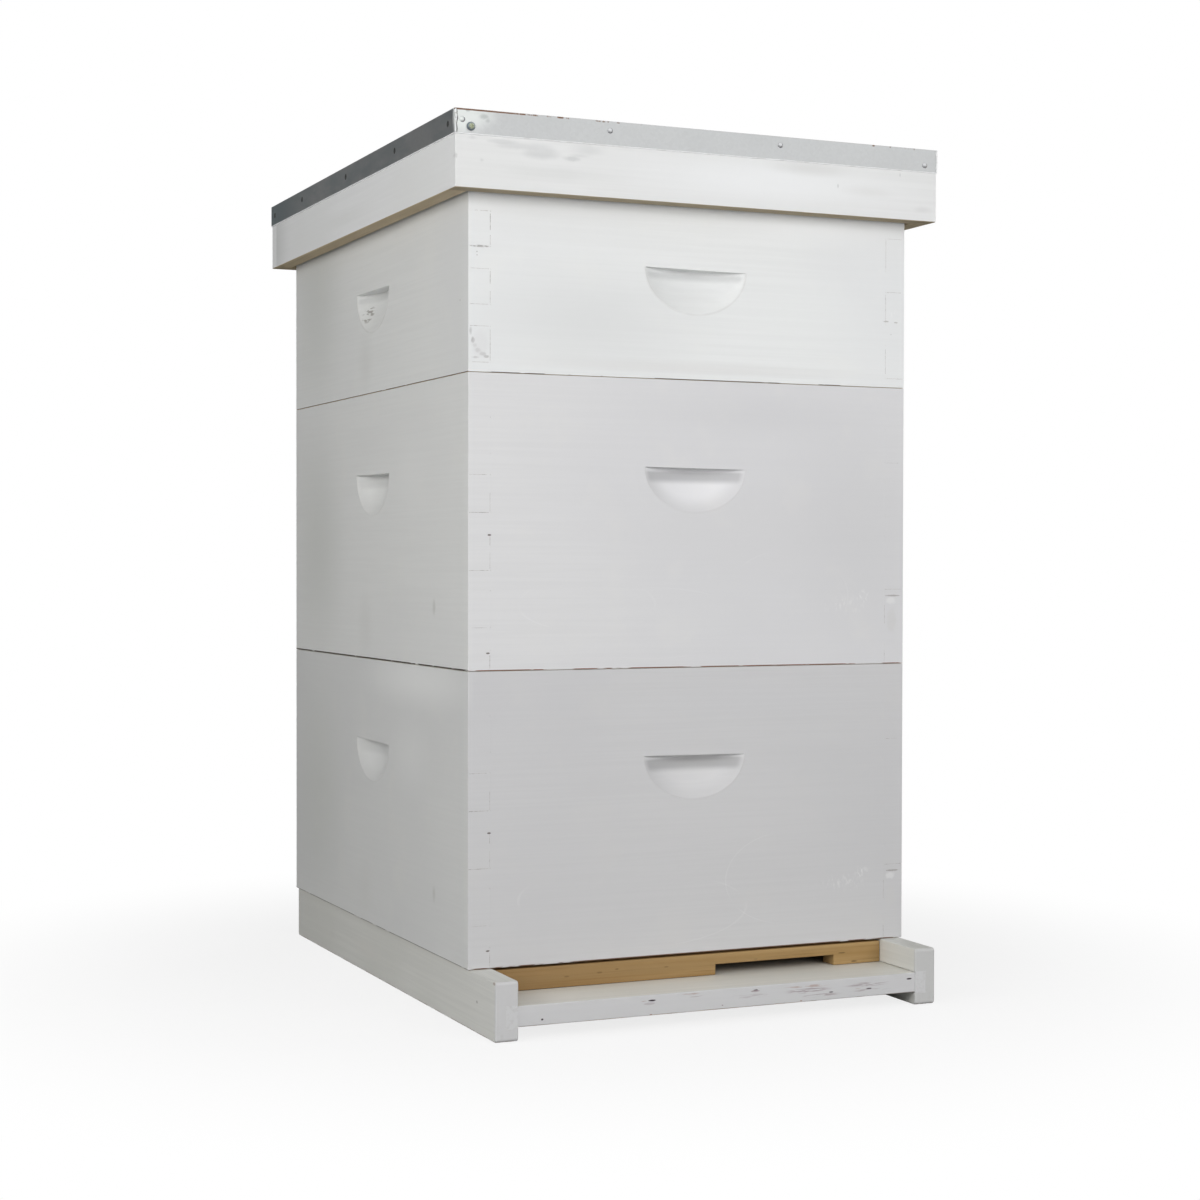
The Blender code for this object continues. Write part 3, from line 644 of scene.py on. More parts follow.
def side_marks(kind, base):
    x = -HALF_W / MM
    marks = [
        # Darker towards the far end of the flank: painted shade
        {"at": (x, 190, base + 110), "size": (9, 110, 150), "colour": (0.60, 0.61, 0.58), "soft": 0.98, "strength": 0.60},
        {"at": (x, 40, base + 30), "size": (9, 30, 40), "colour": (0.63, 0.63, 0.61), "soft": 0.98, "strength": 0.35},
        {"at": (x, -90, base + 165), "size": (9, 70, 50), "colour": (0.80, 0.805, 0.79), "soft": 0.95, "strength": 0.35},
    ]
    if kind == "super":
        marks.append({"at": (x, -214.8, base + 60), "size": (4, 1.2, 1.2), "colour": GREY, "soft": 0.6, "strength": 0.6})
        marks.append(
            {"at": (x + 5, 43, base + 74), "size": (14, 13, 10), "colour": (0.33, 0.31, 0.28), "soft": 0.45, "strength": 0.85, "lines": (0.53, 0.60), "along": "Y", "fine": 330.0, "slow": 60.0}
        )
    else:
        if base < 200:
            marks.append({"at": (x, -100, base + 232), "size": (9, 190, 36), "colour": (0.84, 0.845, 0.83), "soft": 0.95, "strength": 0.65})
        marks.append({"at": (x, -151.5, base + 51), "size": (4, 5.5, 10), "colour": (0.50, 0.50, 0.47), "soft": 0.9, "strength": 0.55, "ragged": 0.4})
    return marks


def far_marks(base, tall, seed):
    """Scuffs on the two walls turned away, different on each box."""
    swing = math.sin(2.3 * seed), math.cos(1.7 * seed), math.sin(4.1 * seed + 1.0)
    x, y = HALF_W / MM, BACK_Y / MM
    return [
        {"at": (x, -120 + 70 * swing[0], base + tall * (0.4 + 0.2 * swing[1])), "size": (5, 30, 20), "colour": (0.62, 0.62, 0.60), "soft": 0.95, "strength": 0.5, "ragged": 0.9, "grain": 30.0},
        {"at": (x, 120 + 80 * swing[2], base + tall * (0.25 + 0.12 * swing[0])), "size": (5, 15, 2.2), "colour": (0.42, 0.40, 0.37), "soft": 0.7, "strength": 0.6, "ragged": 1.0, "grain": 300.0},
        {"at": (x, 20 - 90 * swing[1], base + tall * 0.08), "size": (5, 90, 12), "colour": (0.60, 0.59, 0.55), "soft": 0.95, "strength": 0.45, "ragged": 0.8, "grain": 25.0},
        {"at": (x, 236, base + tall * 0.5), "size": (5, 13, 120), "colour": (0.66, 0.66, 0.64), "soft": 0.98, "strength": 0.45},
        {"at": (110 * swing[1], y, base + tall * (0.3 + 0.1 * swing[2])), "size": (34, 5, 22), "colour": (0.62, 0.62, 0.60), "soft": 0.95, "strength": 0.5, "ragged": 0.9, "grain": 30.0},
        {"at": (-150 + 60 * swing[0], y, base + tall * (0.6 + 0.2 * swing[1])), "size": (9, 5, 2), "colour": (0.36, 0.33, 0.30), "soft": 0.6, "strength": 0.6, "ragged": 1.0, "grain": 400.0},
        {"at": (40 * swing[2], y, base + tall * 0.06), "size": (120, 5, 12), "colour": (0.58, 0.57, 0.53), "soft": 0.95, "strength": 0.5, "ragged": 0.8, "grain": 25.0},
    ]


# The front and side tints are one white paint, set darker on the lower boxes and unequal between end and side walls:
# painted shade for the light falling off downwards and round the corner.
BOXES = (
    # Hand-hold factors: the lower bowl and the lip under the ledge are lightened (painted light), and the band under
    # the ledge is darkened (painted shade).
    ("lower_deep", "deep", (0.655, 0.653, 0.660), (0.695, 0.699, 0.684), 0.007, {"clean": (1.08, 1.09), "shade": (0.95, 0.74), "lip_painted_light": (1.0, 1.12), "band": (0.0095, 0.0155), "rim": 0.06}, {"tall": 0.0007, "from": 0.56, "gap": 0.00045, "end": (0.16, 0.085, 0.055)}),
    ("upper_deep", "deep", (0.760, 0.759, 0.765), (0.752, 0.756, 0.739), 0.007, {"clean": (1.08, 1.17), "shade": (0.93, 0.76), "lip_painted_light": (1.0, 1.08), "band": (0.0085, 0.0145), "rim": 0.06}, {"tall": 0.0007, "from": 0.54, "gap": 0.0011, "end": (0.26, 0.14, 0.10)}),
    ("super", "super", (0.868, 0.880, 0.876), (0.762, 0.768, 0.750), 0.009, {"clean": (1.0, 0.96), "shade": (0.86, 0.80), "lip_painted_light": (1.0, 0.95), "band": (0.0055, 0.0105), "rim": 0.16}, {"tall": 0.00045, "from": 0.59, "gap": 0.00030, "end": (0.19, 0.19, 0.195)}),
)

for seed, (box_name, kind, front_tint_shaded, side_tint_shaded, streak, hold, seam) in enumerate(BOXES, 3):
    low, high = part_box(f"{box_name}_front")
    base, tall = low.z / MM, (high.z - low.z) / MM
    marks = front_marks(kind, base) + side_marks(kind, base) + far_marks(base, tall, seed)
    mat = box_paint(box_name, seed, front_tint_shaded, side_tint_shaded, streak, hold, marks, seam)
    for side in ("front", "back", "left", "right"):
        dress(f"{box_name}_{side}", mat, 0.00045)

# Paint that bridges the finger joints, and the fine cracks that show in it
DEEP_BREAKS = (17.2, 35.6, 66.0, 82.5, 112.6, 130.0, 161.0, 178.0, 208.0)
MEDIUM_BREAKS = (8.0, 37.5, 55.3, 84.3, 102.3, 131.5)

s = Shader("joint_crack")
speck = s.noise(scale=420.0, detail=3.0)
CRACK = s.done(
    s.mix(s.ramp(speck, 0.42, 0.66), (0.52, 0.50, 0.48), (0.16, 0.13, 0.115)),
    s.math("MULTIPLY_ADD", speck, 0.2, 0.6),
    s.bump(speck, 0.4, 0.0003),
)


def joint_paint(box_name, breaks, sides_first, cracks):
    """Thin fillets over every finger edge; cracks lists which of them have
    opened: (corner, kind, level, from, to, half width) in millimetres."""
    low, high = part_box(f"{box_name}_front")
    w, t, half, sink = HALF_W, BOARD, 0.00062, 0.00003
    bm = bmesh.new()
    levels = [0.0, *[v * MM for v in breaks], high.z - low.z]

    def put(sx, sy, x0, x1, y0, y1, z0, z1, mat=0):
        face_y = FRONT_Y if sy < 0 else BACK_Y
        xs = sorted((sx * x0, sx * x1))
        ys = sorted((face_y - sy * y0, face_y - sy * y1))
        add_block(bm, (xs[0], ys[0], low.z + z0), (xs[1], ys[1], low.z + z1), mat)

    for sx in (-1, 1):
        for sy in (-1, 1):
            for level in levels[1:-1]:
                put(sx, sy, w - t, w - 0.0006, sink, 0.0012, level - half, level + half)
                put(sx, sy, w - 0.0012, w - sink, 0.0006, t, level - half, level + half)
                put(sx, sy, w - t - 0.0001, w - 0.0006, 0.0006, t - 0.0006, level - 0.00014, level + 0.00014)
            side_owns = sides_first
            for z0, z1 in zip(levels[:-1], levels[1:]):
                z0, z1 = z0 + 0.0005, z1 - 0.0005
                if side_owns:
                    put(sx, sy, w - t - half, w - t + half, sink, 0.0012, z0, z1)
                else:
                    put(sx, sy, w - 0.0012, w - sink, t - half, t + half, z0, z1)
                side_owns = not side_owns
            # The corner itself, where the eased edges of the fingers meet
            for level in levels[1:-1]:
                put(sx, sy, w - 0.0016, w - 0.00022, 0.00022, 0.0016, level - half, level + half)
    for (sx, sy), kind, place, lo, hi, wide in cracks:
        place, lo, hi, wide = place * MM, lo * MM, hi * MM, wide * MM
        if kind == "across":  # along a finger's edge on the end wall
            put(sx, sy, lo, hi, 0.00001, 0.0011, place - wide, place + wide, 1)
        elif kind == "up":  # along a finger's tip on the end wall
            put(sx, sy, w - t - wide, w - t + wide, 0.00001, 0.0011, lo, hi, 1)
        elif kind == "side":  # along a finger's edge on the side wall
            put(sx, sy, w - 0.0011, w - 0.00001, lo, hi, place - wide, place + wide, 1)
        else:  # along a finger's tip on the side wall
            put(sx, sy, w - 0.0011, w - 0.00001, t - wide, t + wide, lo, hi, 1)
    paint_here = NODES[f"{box_name}_front"].material_slots[0].material
    return mesh_object(f"{box_name}_joint_paint", bm, [paint_here, CRACK], box_name)


FRONT_LEFT, FRONT_RIGHT, BACK_LEFT, BACK_RIGHT = (-1, -1), (1, -1), (-1, 1), (1, 1)
deep_cracks = [
    (FRONT_LEFT, "across", 161.0, 190.0, 205.5, 0.10),
    (FRONT_LEFT, "across", 130.0, 188.5, 205.5, 0.14),
    (FRONT_LEFT, "across", 82.5, 188.5, 205.8, 0.12),
    (FRONT_LEFT, "across", 35.6, 190.0, 203.0, 0.07),
    (FRONT_LEFT, "up", 0, 131.0, 146.0, 0.09),
    (FRONT_LEFT, "up", 0, 84.0, 97.0, 0.08),
    (FRONT_LEFT, "up", 0, 103.0, 111.0, 0.10),
    (FRONT_LEFT, "up", 0, 2.0, 13.0, 0.13),
    (FRONT_RIGHT, "across", 178.0, 189.0, 201.0, 0.06),
    (FRONT_RIGHT, "across", 66.0, 188.0, 205.0, 0.09),
    (FRONT_RIGHT, "up", 0, 36.0, 52.0, 0.10),
    (FRONT_RIGHT, "up", 0, 2.0, 12.0, 0.08),
    (BACK_LEFT, "across", 112.6, 189.0, 205.0, 0.10),
    (BACK_LEFT, "up", 0, 36.0, 64.0, 0.09),
    (BACK_RIGHT, "across", 161.0, 189.0, 205.0, 0.10),
    (BACK_RIGHT, "side", 82.5, 1.0, 17.0, 0.09),
    (FRONT_RIGHT, "side", 130.0, 1.5, 18.0, 0.08),
]
super_cracks = [
    (FRONT_LEFT, "across", 131.5, 189.5, 196.0, 0.12),
    (FRONT_LEFT, "across", 131.5, 198.0, 201.0, 0.07),
    (FRONT_LEFT, "across", 102.3, 188.5, 205.0, 0.13),
    (FRONT_LEFT, "across", 84.3, 188.5, 204.5, 0.10),
    (FRONT_LEFT, "across", 55.3, 189.0, 205.0, 0.10),
    (FRONT_LEFT, "across", 37.5, 188.5, 205.0, 0.10),
    (FRONT_LEFT, "across", 8.0, 188.5, 203.0, 0.11),
    (FRONT_LEFT, "up", 0, 104.0, 112.0, 0.13),
    (FRONT_LEFT, "up", 0, 116.0, 129.5, 0.16),
    (FRONT_LEFT, "up", 0, 56.5, 66.0, 0.12),
    (FRONT_LEFT, "up", 0, 72.0, 82.5, 0.14),
    (FRONT_LEFT, "up", 0, 9.5, 35.0, 0.12),
    (FRONT_RIGHT, "across", 131.5, 189.0, 204.0, 0.07),
    (FRONT_RIGHT, "across", 84.3, 188.5, 203.0, 0.09),
    (FRONT_RIGHT, "across", 8.0, 188.5, 205.0, 0.09),
    (FRONT_RIGHT, "up", 0, 104.0, 130.0, 0.08),
    (FRONT_RIGHT, "up", 0, 57.0, 82.0, 0.10),
    (FRONT_RIGHT, "up", 0, 12.0, 34.0, 0.08),
    (BACK_LEFT, "across", 102.3, 189.0, 205.0, 0.09),
    (BACK_RIGHT, "up", 0, 57.0, 80.0, 0.09),
    (BACK_RIGHT, "side", 55.3, 1.0, 17.0, 0.09),
]
for box_name, breaks, sides_first, opened in (
    ("lower_deep", DEEP_BREAKS, True, deep_cracks),
    ("upper_deep", DEEP_BREAKS, True, deep_cracks),
    ("super", MEDIUM_BREAKS, False, super_cracks),
):
    joint_paint(
        box_name,
        breaks,
        sides_first,
        opened,
    )

# ------------------------------------------------------------------ bottom board

EDGE = FLOOR_LOW.y / MM
edge_lines = []
INK = (0.045, 0.028, 0.035)
PLUM = (0.36, 0.29, 0.31)
RUST = (0.40, 0.24, 0.19)
# x, z, half length, half height, colour, strength, line threshold (0 = solid)
for x, z, sx, sz, tone, power, cut in (
    (-163.8, 15.8, 1.3, 0.95, INK, 0.95, 0),
    (-67.5, 11.9, 1.5, 0.6, RUST, 0.9, 0),
    (-66.4, 23.5, 3.9, 0.85, INK, 1.0, 0),
    (-73.4, 23.2, 3.6, 0.55, RUST, 0.9, 0.42),
    (29.6, 24.7, 2.4, 0.75, INK, 0.95, 0),
    (29.0, 24.0, 5.0, 0.9, PLUM, 0.8, 0),
    (139.0, 17.7, 3.2, 0.75, INK, 0.95, 0),
    (128.0, 18.2, 4.5, 0.55, RUST, 0.9, 0.42),
    (101.9, 17.6, 2.6, 0.7, INK, 0.75, 0),
    (179.2, 23.2, 3.0, 0.85, INK, 1.0, 0),
    (-1.7, 14.4, 0.9, 0.6, PLUM, 0.8, 0),
    (72.8, 12.4, 1.4, 0.5, RUST, 0.8, 0),
    (-68.8, 21.0, 6.0, 1.2, PLUM, 0.35, 0),
    (-31.0, 26.2, 9.5, 1.2, RUST, 0.55, 0.50),
    (-27.0, 23.8, 10.0, 0.9, PLUM, 0.45, 0.48),
    (78.0, 24.2, 26.0, 1.9, RUST, 0.55, 0.49),
    (80.0, 20.6, 26.0, 3.2, PLUM, 0.85, 0.46),
    (92.0, 15.8, 24.0, 1.8, PLUM, 0.7, 0.47),
    (137.0, 21.6, 26.0, 2.6, PLUM, 0.7, 0.47),
    (140.0, 16.6, 24.0, 1.6, PLUM, 0.55, 0.48),
    (30.0, 20.0, 30.0, 2.4, PLUM, 0.35, 0.52),
):
    mark = {
        "at": (x, EDGE, z),
        "size": (sx, 3, sz),
        "colour": tone,
        "soft": 0.7 if cut else 0.35,
        "strength": power,
        "ragged": 0.0 if cut else 0.45,
        "grain": 600.0,
    }
    if cut:
        mark.update({"lines": (cut, cut + 0.09), "along": "X", "fine": 1100.0, "slow": 75.0})
    edge_lines.append(mark)
# A faint warm line of bare edge under the paint, and a lighter patch and a darker patch on the landing
edge_lines.append({"at": (-20, EDGE, 11.4), "size": (210, 3, 0.7), "colour": (0.50, 0.37, 0.28), "soft": 0.6, "strength": 0.7, "lines": (0.40, 0.55), "along": "X", "fine": 500.0, "slow": 30.0})
edge_lines.insert(0, {"at": (0, EDGE, 20), "size": (400, 2.0, 18), "colour": (0.665, 0.665, 0.68), "soft": 0.3, "strength": 0.85})
edge_lines.append({"at": (-150, EDGE + 24, 28), "size": (60, 30, 3), "colour": (0.86, 0.84, 0.79), "soft": 0.95, "strength": 0.6})
edge_lines.append({"at": (96, EDGE + 30, 28), "size": (70, 18, 3), "colour": (0.70, 0.70, 0.66), "soft": 0.95, "strength": 0.4})


def floor_worn(s):
    x, y, z = s.xyz()
    ragged = s.noise(s.stretched(grain_scale("X", 400, 45), (3, 0, 0)), detail=3.0)
    foot = s.ramp(z, FLOOR_LOW.z + 0.0004, FLOOR_LOW.z + 0.0008, 1.0, 0.0)
    front = s.ramp(y, FLOOR_LOW.y + 0.001, FLOOR_LOW.y + 0.0014, 1.0, 0.0)
    return s.math("MULTIPLY", s.math("MULTIPLY", foot, front), s.ramp(ragged, 0.46, 0.56, 0.0, 0.7))


floor_paint = paint(
    "paint_bottom_floor",
    "X",
    31,
    tint=(0.79, 0.78, 0.73),
    streak=0.03,
    mottle=0.05,
    worn=floor_worn,
    marks=edge_lines,
    grime=0.04,
)
dress("bottom_floor", floor_paint, 0.0006)

rail_tint = (0.700, 0.700, 0.665)
for name, s_id in (("bottom_rail_left", 41), ("bottom_rail_right", 43)):
    sx = -1 if "left" in name else 1
    low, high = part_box(name)

    def rail_worn(s, low=low):
        x, y, z = s.xyz()
        ragged = s.noise(s.stretched((300, 42, 300), (5, 1, 0)), detail=3.0)
        foot = s.ramp(z, low.z + 0.0006, low.z + 0.0012, 1.0, 0.0)
        return s.math("MULTIPLY", foot, s.ramp(ragged, 0.42, 0.54, 0.0, 0.8))

    marks = [
        {"at": (sx * 192, -292.4, 13), "size": (2.6, 5, 5.0), "colour": (0.56, 0.55, 0.54), "soft": 0.7, "strength": 0.4, "ragged": 0.7, "grain": 200.0},
        {"at": (sx * 199, -292.4, 5), "size": (2.2, 5, 3.0), "colour": (0.56, 0.55, 0.54), "soft": 0.7, "strength": 0.4, "ragged": 0.7, "grain": 200.0},
        {"at": (sx * 204.2, -250, 25.5), "size": (5, 2.2, 1.6), "colour": (0.30, 0.29, 0.27), "soft": 0.5, "strength": 0.7},
        {"at": (sx * 204.2, -289, 47), "size": (3, 3.0, 1.6), "colour": (0.34, 0.26, 0.21), "soft": 0.5, "strength": 0.7, "ragged": 0.6, "grain": 400.0},
        {"at": (sx * 204.2, 40, 22), "size": (5, 60, 12), "colour": (0.68, 0.67, 0.63), "soft": 0.9, "strength": 0.5},
    ]
    # Darker front ends, the right one darker still: painted shade
    if sx > 0:
        marks.insert(0, {"at": (sx * 195, -292.4, 25), "size": (24, 3, 50), "colour": (0.60, 0.60, 0.60), "soft": 0.3, "strength": 0.8})
    else:
        marks.insert(0, {"at": (sx * 195, -292.4, 25), "size": (24, 3, 50), "colour": (0.645, 0.642, 0.652), "soft": 0.3, "strength": 0.85})
    mat = paint(f"paint_{name}", "Y", s_id, tint=rail_tint, streak=0.025, mottle=0.05, worn=rail_worn, marks=marks, grime=0.05)
    dress(name, mat, 0.0009, 2)
dress("bottom_rear_cleat", paint("paint_bottom_rear_cleat", "X", 47, tint=rail_tint, streak=0.025, mottle=0.05, grime=0.1), 0.0007)

# Paint bridging the groove that holds the floor, seen on the rails' front ends
joint = Shader("joint_paint")
speck = joint.noise(scale=260.0, detail=2.0)
JOINT = joint.done(
    joint.mix(joint.ramp(speck, 0.45, 0.7), (0.685, 0.685, 0.69), (0.63, 0.625, 0.625)),
    joint.math("MULTIPLY_ADD", speck, 0.2, 0.45),
    joint.bump(speck, 0.3, 0.0003),
)
bm = bmesh.new()
groove = 0.0003
rail_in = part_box("bottom_rail_right")[0].x
reach = FLOOR_HIGH.x
for sx in (-1, 1):
    for z0, z1 in ((FLOOR_LOW.z - groove + 0.00002, FLOOR_LOW.z - 0.00002), (FLOOR_HIGH.z + 0.00002, FLOOR_HIGH.z + groove - 0.00002)):
        x0, x1 = sorted((sx * (rail_in + 0.0003), sx * (reach + 0.0003)))
        add_block(bm, (x0, RAIL_LOW.y + 0.00012, z0), (x1, RAIL_LOW.y + 0.012, z1))
    x0, x1 = sorted((sx * (reach + 0.00003), sx * (reach + 0.00037)))
    add_block(bm, (x0, RAIL_LOW.y + 0.00012, FLOOR_LOW.z - 0.0002), (x1, RAIL_LOW.y + 0.012, FLOOR_HIGH.z + 0.0002))
    # The step between the floor's edge and the rail's end is painted level
    x0, x1 = sorted((sx * (rail_in + 0.0002), sx * (reach - 0.0001)))
    add_block(bm, (x0, RAIL_LOW.y + 0.00016, FLOOR_LOW.z + 0.0001), (x1, FLOOR_LOW.y - 0.00002, FLOOR_HIGH.z - 0.0001))
    # and so are the eased edges of the groove
    x0, x1 = sorted((sx * (rail_in + 0.0008), sx * (reach + 0.0012)))
    for z0, z1 in ((FLOOR_LOW.z - 0.0013, FLOOR_LOW.z + 0.0006), (FLOOR_HIGH.z - 0.0006, FLOOR_HIGH.z + 0.0013)):
        add_block(bm, (x0, RAIL_LOW.y + 0.00004, z0), (x1, RAIL_LOW.y + 0.0012, z1))
    x0, x1 = sorted((sx * (reach - 0.0004), sx * (reach + 0.0009)))
    add_block(bm, (x0, RAIL_LOW.y + 0.00006, FLOOR_LOW.z - 0.0009), (x1, RAIL_LOW.y + 0.0012, FLOOR_HIGH.z + 0.0009))
mesh_object("bottom_groove_paint", bm, JOINT, "bottom_board")

# Entrance reducer: bare pine with a few knots and dark flecks
s = Shader("reducer_pine")
colour, height = bare_wood(s, "X", 53, pale=(0.49, 0.33, 0.15), mid=(0.35, 0.215, 0.082), dark=(0.215, 0.12, 0.04))
ry = RED_LOW.y / MM
for x, z, sx, sz in ((-118, 37, 3.2, 1.0), (-88, 38.2, 3.4, 1.1), (-72, 40.0, 2.6, 0.9), (-26, 38.5, 2.8, 0.9), (146, 38.6, 5.0, 0.8), (158, 30.4, 4.0, 1.2), (60, 39.0, 2.4, 0.7)):
    spot = s.blot((x, ry, z), (sx, 12, sz), 0.6, 0.5, 500.0)
    colour = s.mix(s.math("MULTIPLY", spot, 0.7), colour, (0.11, 0.07, 0.03))
tone = s.noise(s.stretched((4, 60, 60), (9, 2, 5)), detail=2.0)
colour = s.mix(s.ramp(tone, 0.40, 0.7, 0.0, 0.55), colour, (0.42, 0.29, 0.135))
x, y, z = s.xyz()
colour = s.mix(s.ramp(x, -0.19, 0.16, 0.52, 0.0, smooth=False), colour, (0.145, 0.068, 0.022))
REDUCER = s.done(colour, s.math("MULTIPLY_ADD", height, 0.2, 0.55), s.bump(height, 0.45, 0.0009), spec=0.3)
dress("entrance_reducer", REDUCER, 0.0005)

# ------------------------------------------------------------------ inner cover

for name, along, s_id in (
    ("inner_cover_rim_left", "Y", 61),
    ("inner_cover_rim_right", "Y", 62),
    ("inner_cover_rim_front", "X", 63),
    ("inner_cover_rim_back", "X", 64),
):
    dress(name, wood_material(f"pine_{name}", along, s_id), 0.0007)
dress(
    "inner_cover_panel",
    wood_material("ply_inner_cover_panel", "Y", 66, pale=(0.62, 0.45, 0.26), mid=(0.53, 0.37, 0.20), dark=(0.38, 0.25, 0.13)),
    0.0005,
)

# ------------------------------------------------------------------ outer cover

RIM_Y = RIM_LOW.y / MM


def rim_raw(name):
    low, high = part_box(name)
    side = name.rsplit("_", 1)[1]

    def raw(s):
        x, y, z = s.xyz()
        under = s.ramp(z, low.z + 0.0003, low.z + 0.0006, 1.0, 0.0)
        if side == "left":
            inside = s.ramp(x, high.x - 0.0012, high.x - 0.0008)
        elif side == "right":
            inside = s.ramp(x, low.x + 0.0008, low.x + 0.0012, 1.0, 0.0)
        elif side == "front":
            inside = s.ramp(y, high.y - 0.0012, high.y - 0.0008)
        else:
            inside = s.ramp(y, low.y + 0.0008, low.y + 0.0012, 1.0, 0.0)
        if side in ("front", "back"):
            ends = s.ramp(s.math("ABSOLUTE", x), RIM_HIGH.x - 0.0022, RIM_HIGH.x - 0.0018, 1.0, 0.0)
            inside = s.math("MULTIPLY", inside, ends)
        return s.math("MAXIMUM", under, inside)

    return raw


cover_tint = (0.835, 0.84, 0.838)
CLOUD = (0.60, 0.61, 0.61)
lid_marks = [
    {"at": (-166, RIM_Y, 720.5), "size": (34, 8, 4.6), "colour": CLOUD, "soft": 0.8, "strength": 0.40, "ragged": 1.1, "grain": 46.0},
    {"at": (-153, RIM_Y, 715.5), "size": (21, 8, 6.0), "colour": CLOUD, "soft": 0.75, "strength": 0.50, "ragged": 1.0, "grain": 60.0},
    {"at": (-186, RIM_Y, 722.8), "size": (15, 8, 2.6), "colour": CLOUD, "soft": 0.6, "strength": 0.40, "ragged": 0.8, "grain": 90.0},
    {"at": (-124, RIM_Y, 713.5), "size": (11, 8, 2.8), "colour": CLOUD, "soft": 0.7, "strength": 0.60, "ragged": 0.9, "grain": 120.0},
    {"at": (-110, RIM_Y, 721.5), "size": (20, 8, 6.0), "colour": CLOUD, "soft": 0.95, "strength": 0.35, "ragged": 0.8, "grain": 50.0},
    {"at": (-118, RIM_Y, 716.5), "size": (13, 8, 2.2), "colour": CLOUD, "soft": 0.9, "strength": 0.35, "ragged": 0.8, "grain": 90.0},
    {"at": (-140, RIM_Y, 700), "size": (60, 8, 9), "colour": (0.72, 0.73, 0.72), "soft": 0.95, "strength": 0.35, "ragged": 0.6, "grain": 40.0},
    {"at": (-202.6, RIM_Y, 706.8), "size": (3.0, 8, 2.2), "colour": CLOUD, "soft": 0.9, "strength": 0.45, "ragged": 0.9, "grain": 300.0},
    {"at": (-224.8, RIM_Y, 709), "size": (1.6, 8, 3.2), "colour": (0.45, 0.45, 0.44), "soft": 0.8, "strength": 0.35, "ragged": 0.8, "grain": 400.0},
    {"at": (-211, RIM_Y, 724.5), "size": (5.5, 8, 2.4), "colour": CLOUD, "soft": 0.9, "strength": 0.40, "ragged": 0.9, "grain": 260.0},
    # A broad lighter band on the right: a painted highlight
    {"at": (60, RIM_Y, 708), "size": (190, 8, 30), "colour": (0.925, 0.935, 0.94), "soft": 0.9, "strength": 0.85},
    {"at": (98, RIM_Y, 722), "size": (52, 8, 9), "colour": (0.70, 0.70, 0.69), "soft": 0.95, "strength": 0.55, "ragged": 0.3, "grain": 30.0},
    {"at": (160, RIM_Y, 706), "size": (36, 8, 7), "colour": (0.78, 0.78, 0.77), "soft": 0.95, "strength": 0.5, "ragged": 0.5, "grain": 30.0},
    {"at": (126.3, RIM_Y, 708.9), "size": (1.3, 8, 2.6), "colour": CLOUD, "soft": 0.7, "strength": 0.6},
    {"at": (188.6, RIM_Y, 722.9), "size": (1.1, 8, 2.4), "colour": CLOUD, "soft": 0.7, "strength": 0.6},
    {"at": (212, RIM_Y, 694), "size": (14, 8, 4), "colour": (0.70, 0.70, 0.70), "soft": 0.9, "strength": 0.5, "ragged": 0.6, "grain": 90.0},
]
flank_marks = [
    # Darker at the far end of the rim: painted shade
    {"at": (RIM_LOW.x / MM, 292, 705), "size": (8, 75, 60), "colour": (0.56, 0.57, 0.56), "soft": 0.98, "strength": 0.75},
    {"at": (RIM_LOW.x / MM, 40, 700), "size": (8, 90, 10), "colour": (0.74, 0.75, 0.73), "soft": 0.95, "strength": 0.4, "ragged": 0.5, "grain": 30.0},
]
for name, along, s_id in (
    ("cover_rim_front", "X", 71),
    ("cover_rim_back", "X", 72),
    ("cover_rim_left", "Y", 73),
    ("cover_rim_right", "Y", 74),
):
    # On the front rim the bare underside is set darker: painted shade on its downward face
    mat = paint(
        f"paint_{name}",
        along,
        s_id,
        tint=cover_tint,
        streak=0.012,
        mottle=0.02,
        raw=rim_raw(name),
        wood_tones=[tuple(c * k * (0.72 if name == "cover_rim_front" else 1.0) for c, k in zip(tone, (1.0, 0.975, 0.95))) for tone in RIM_WOOD],
        marks=lid_marks if name == "cover_rim_front" else flank_marks if name == "cover_rim_left" else (),
    )
    dress(name, mat, 0.0006)
bm = bmesh.new()
front_back = (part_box("cover_rim_front")[1].y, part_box("cover_rim_back")[0].y)
for sx in (-1, 1):
    for joint_y in front_back:
        x0, x1 = sorted((sx * (RIM_HIGH.x - 0.00003), sx * (RIM_HIGH.x - 0.0012)))
        add_block(bm, (x0, joint_y - 0.0008, RIM_LOW.z + 0.0007), (x1, joint_y + 0.0008, RIM_HIGH.z - 0.0009))
        add_block(bm, (x0 + 0.0001 * (sx < 0), joint_y - 0.0003, RIM_LOW.z + 0.0003), (x1 - 0.0001 * (sx > 0), joint_y + 0.0003, RIM_LOW.z + 0.0007))
mesh_object(
    "cover_rim_joint_paint", bm, NODES["cover_rim_left"].material_slots[0].material, "outer_cover"
)
dress("cover_deck", wood_material("pine_cover_deck", "Y", 77), 0.0006)


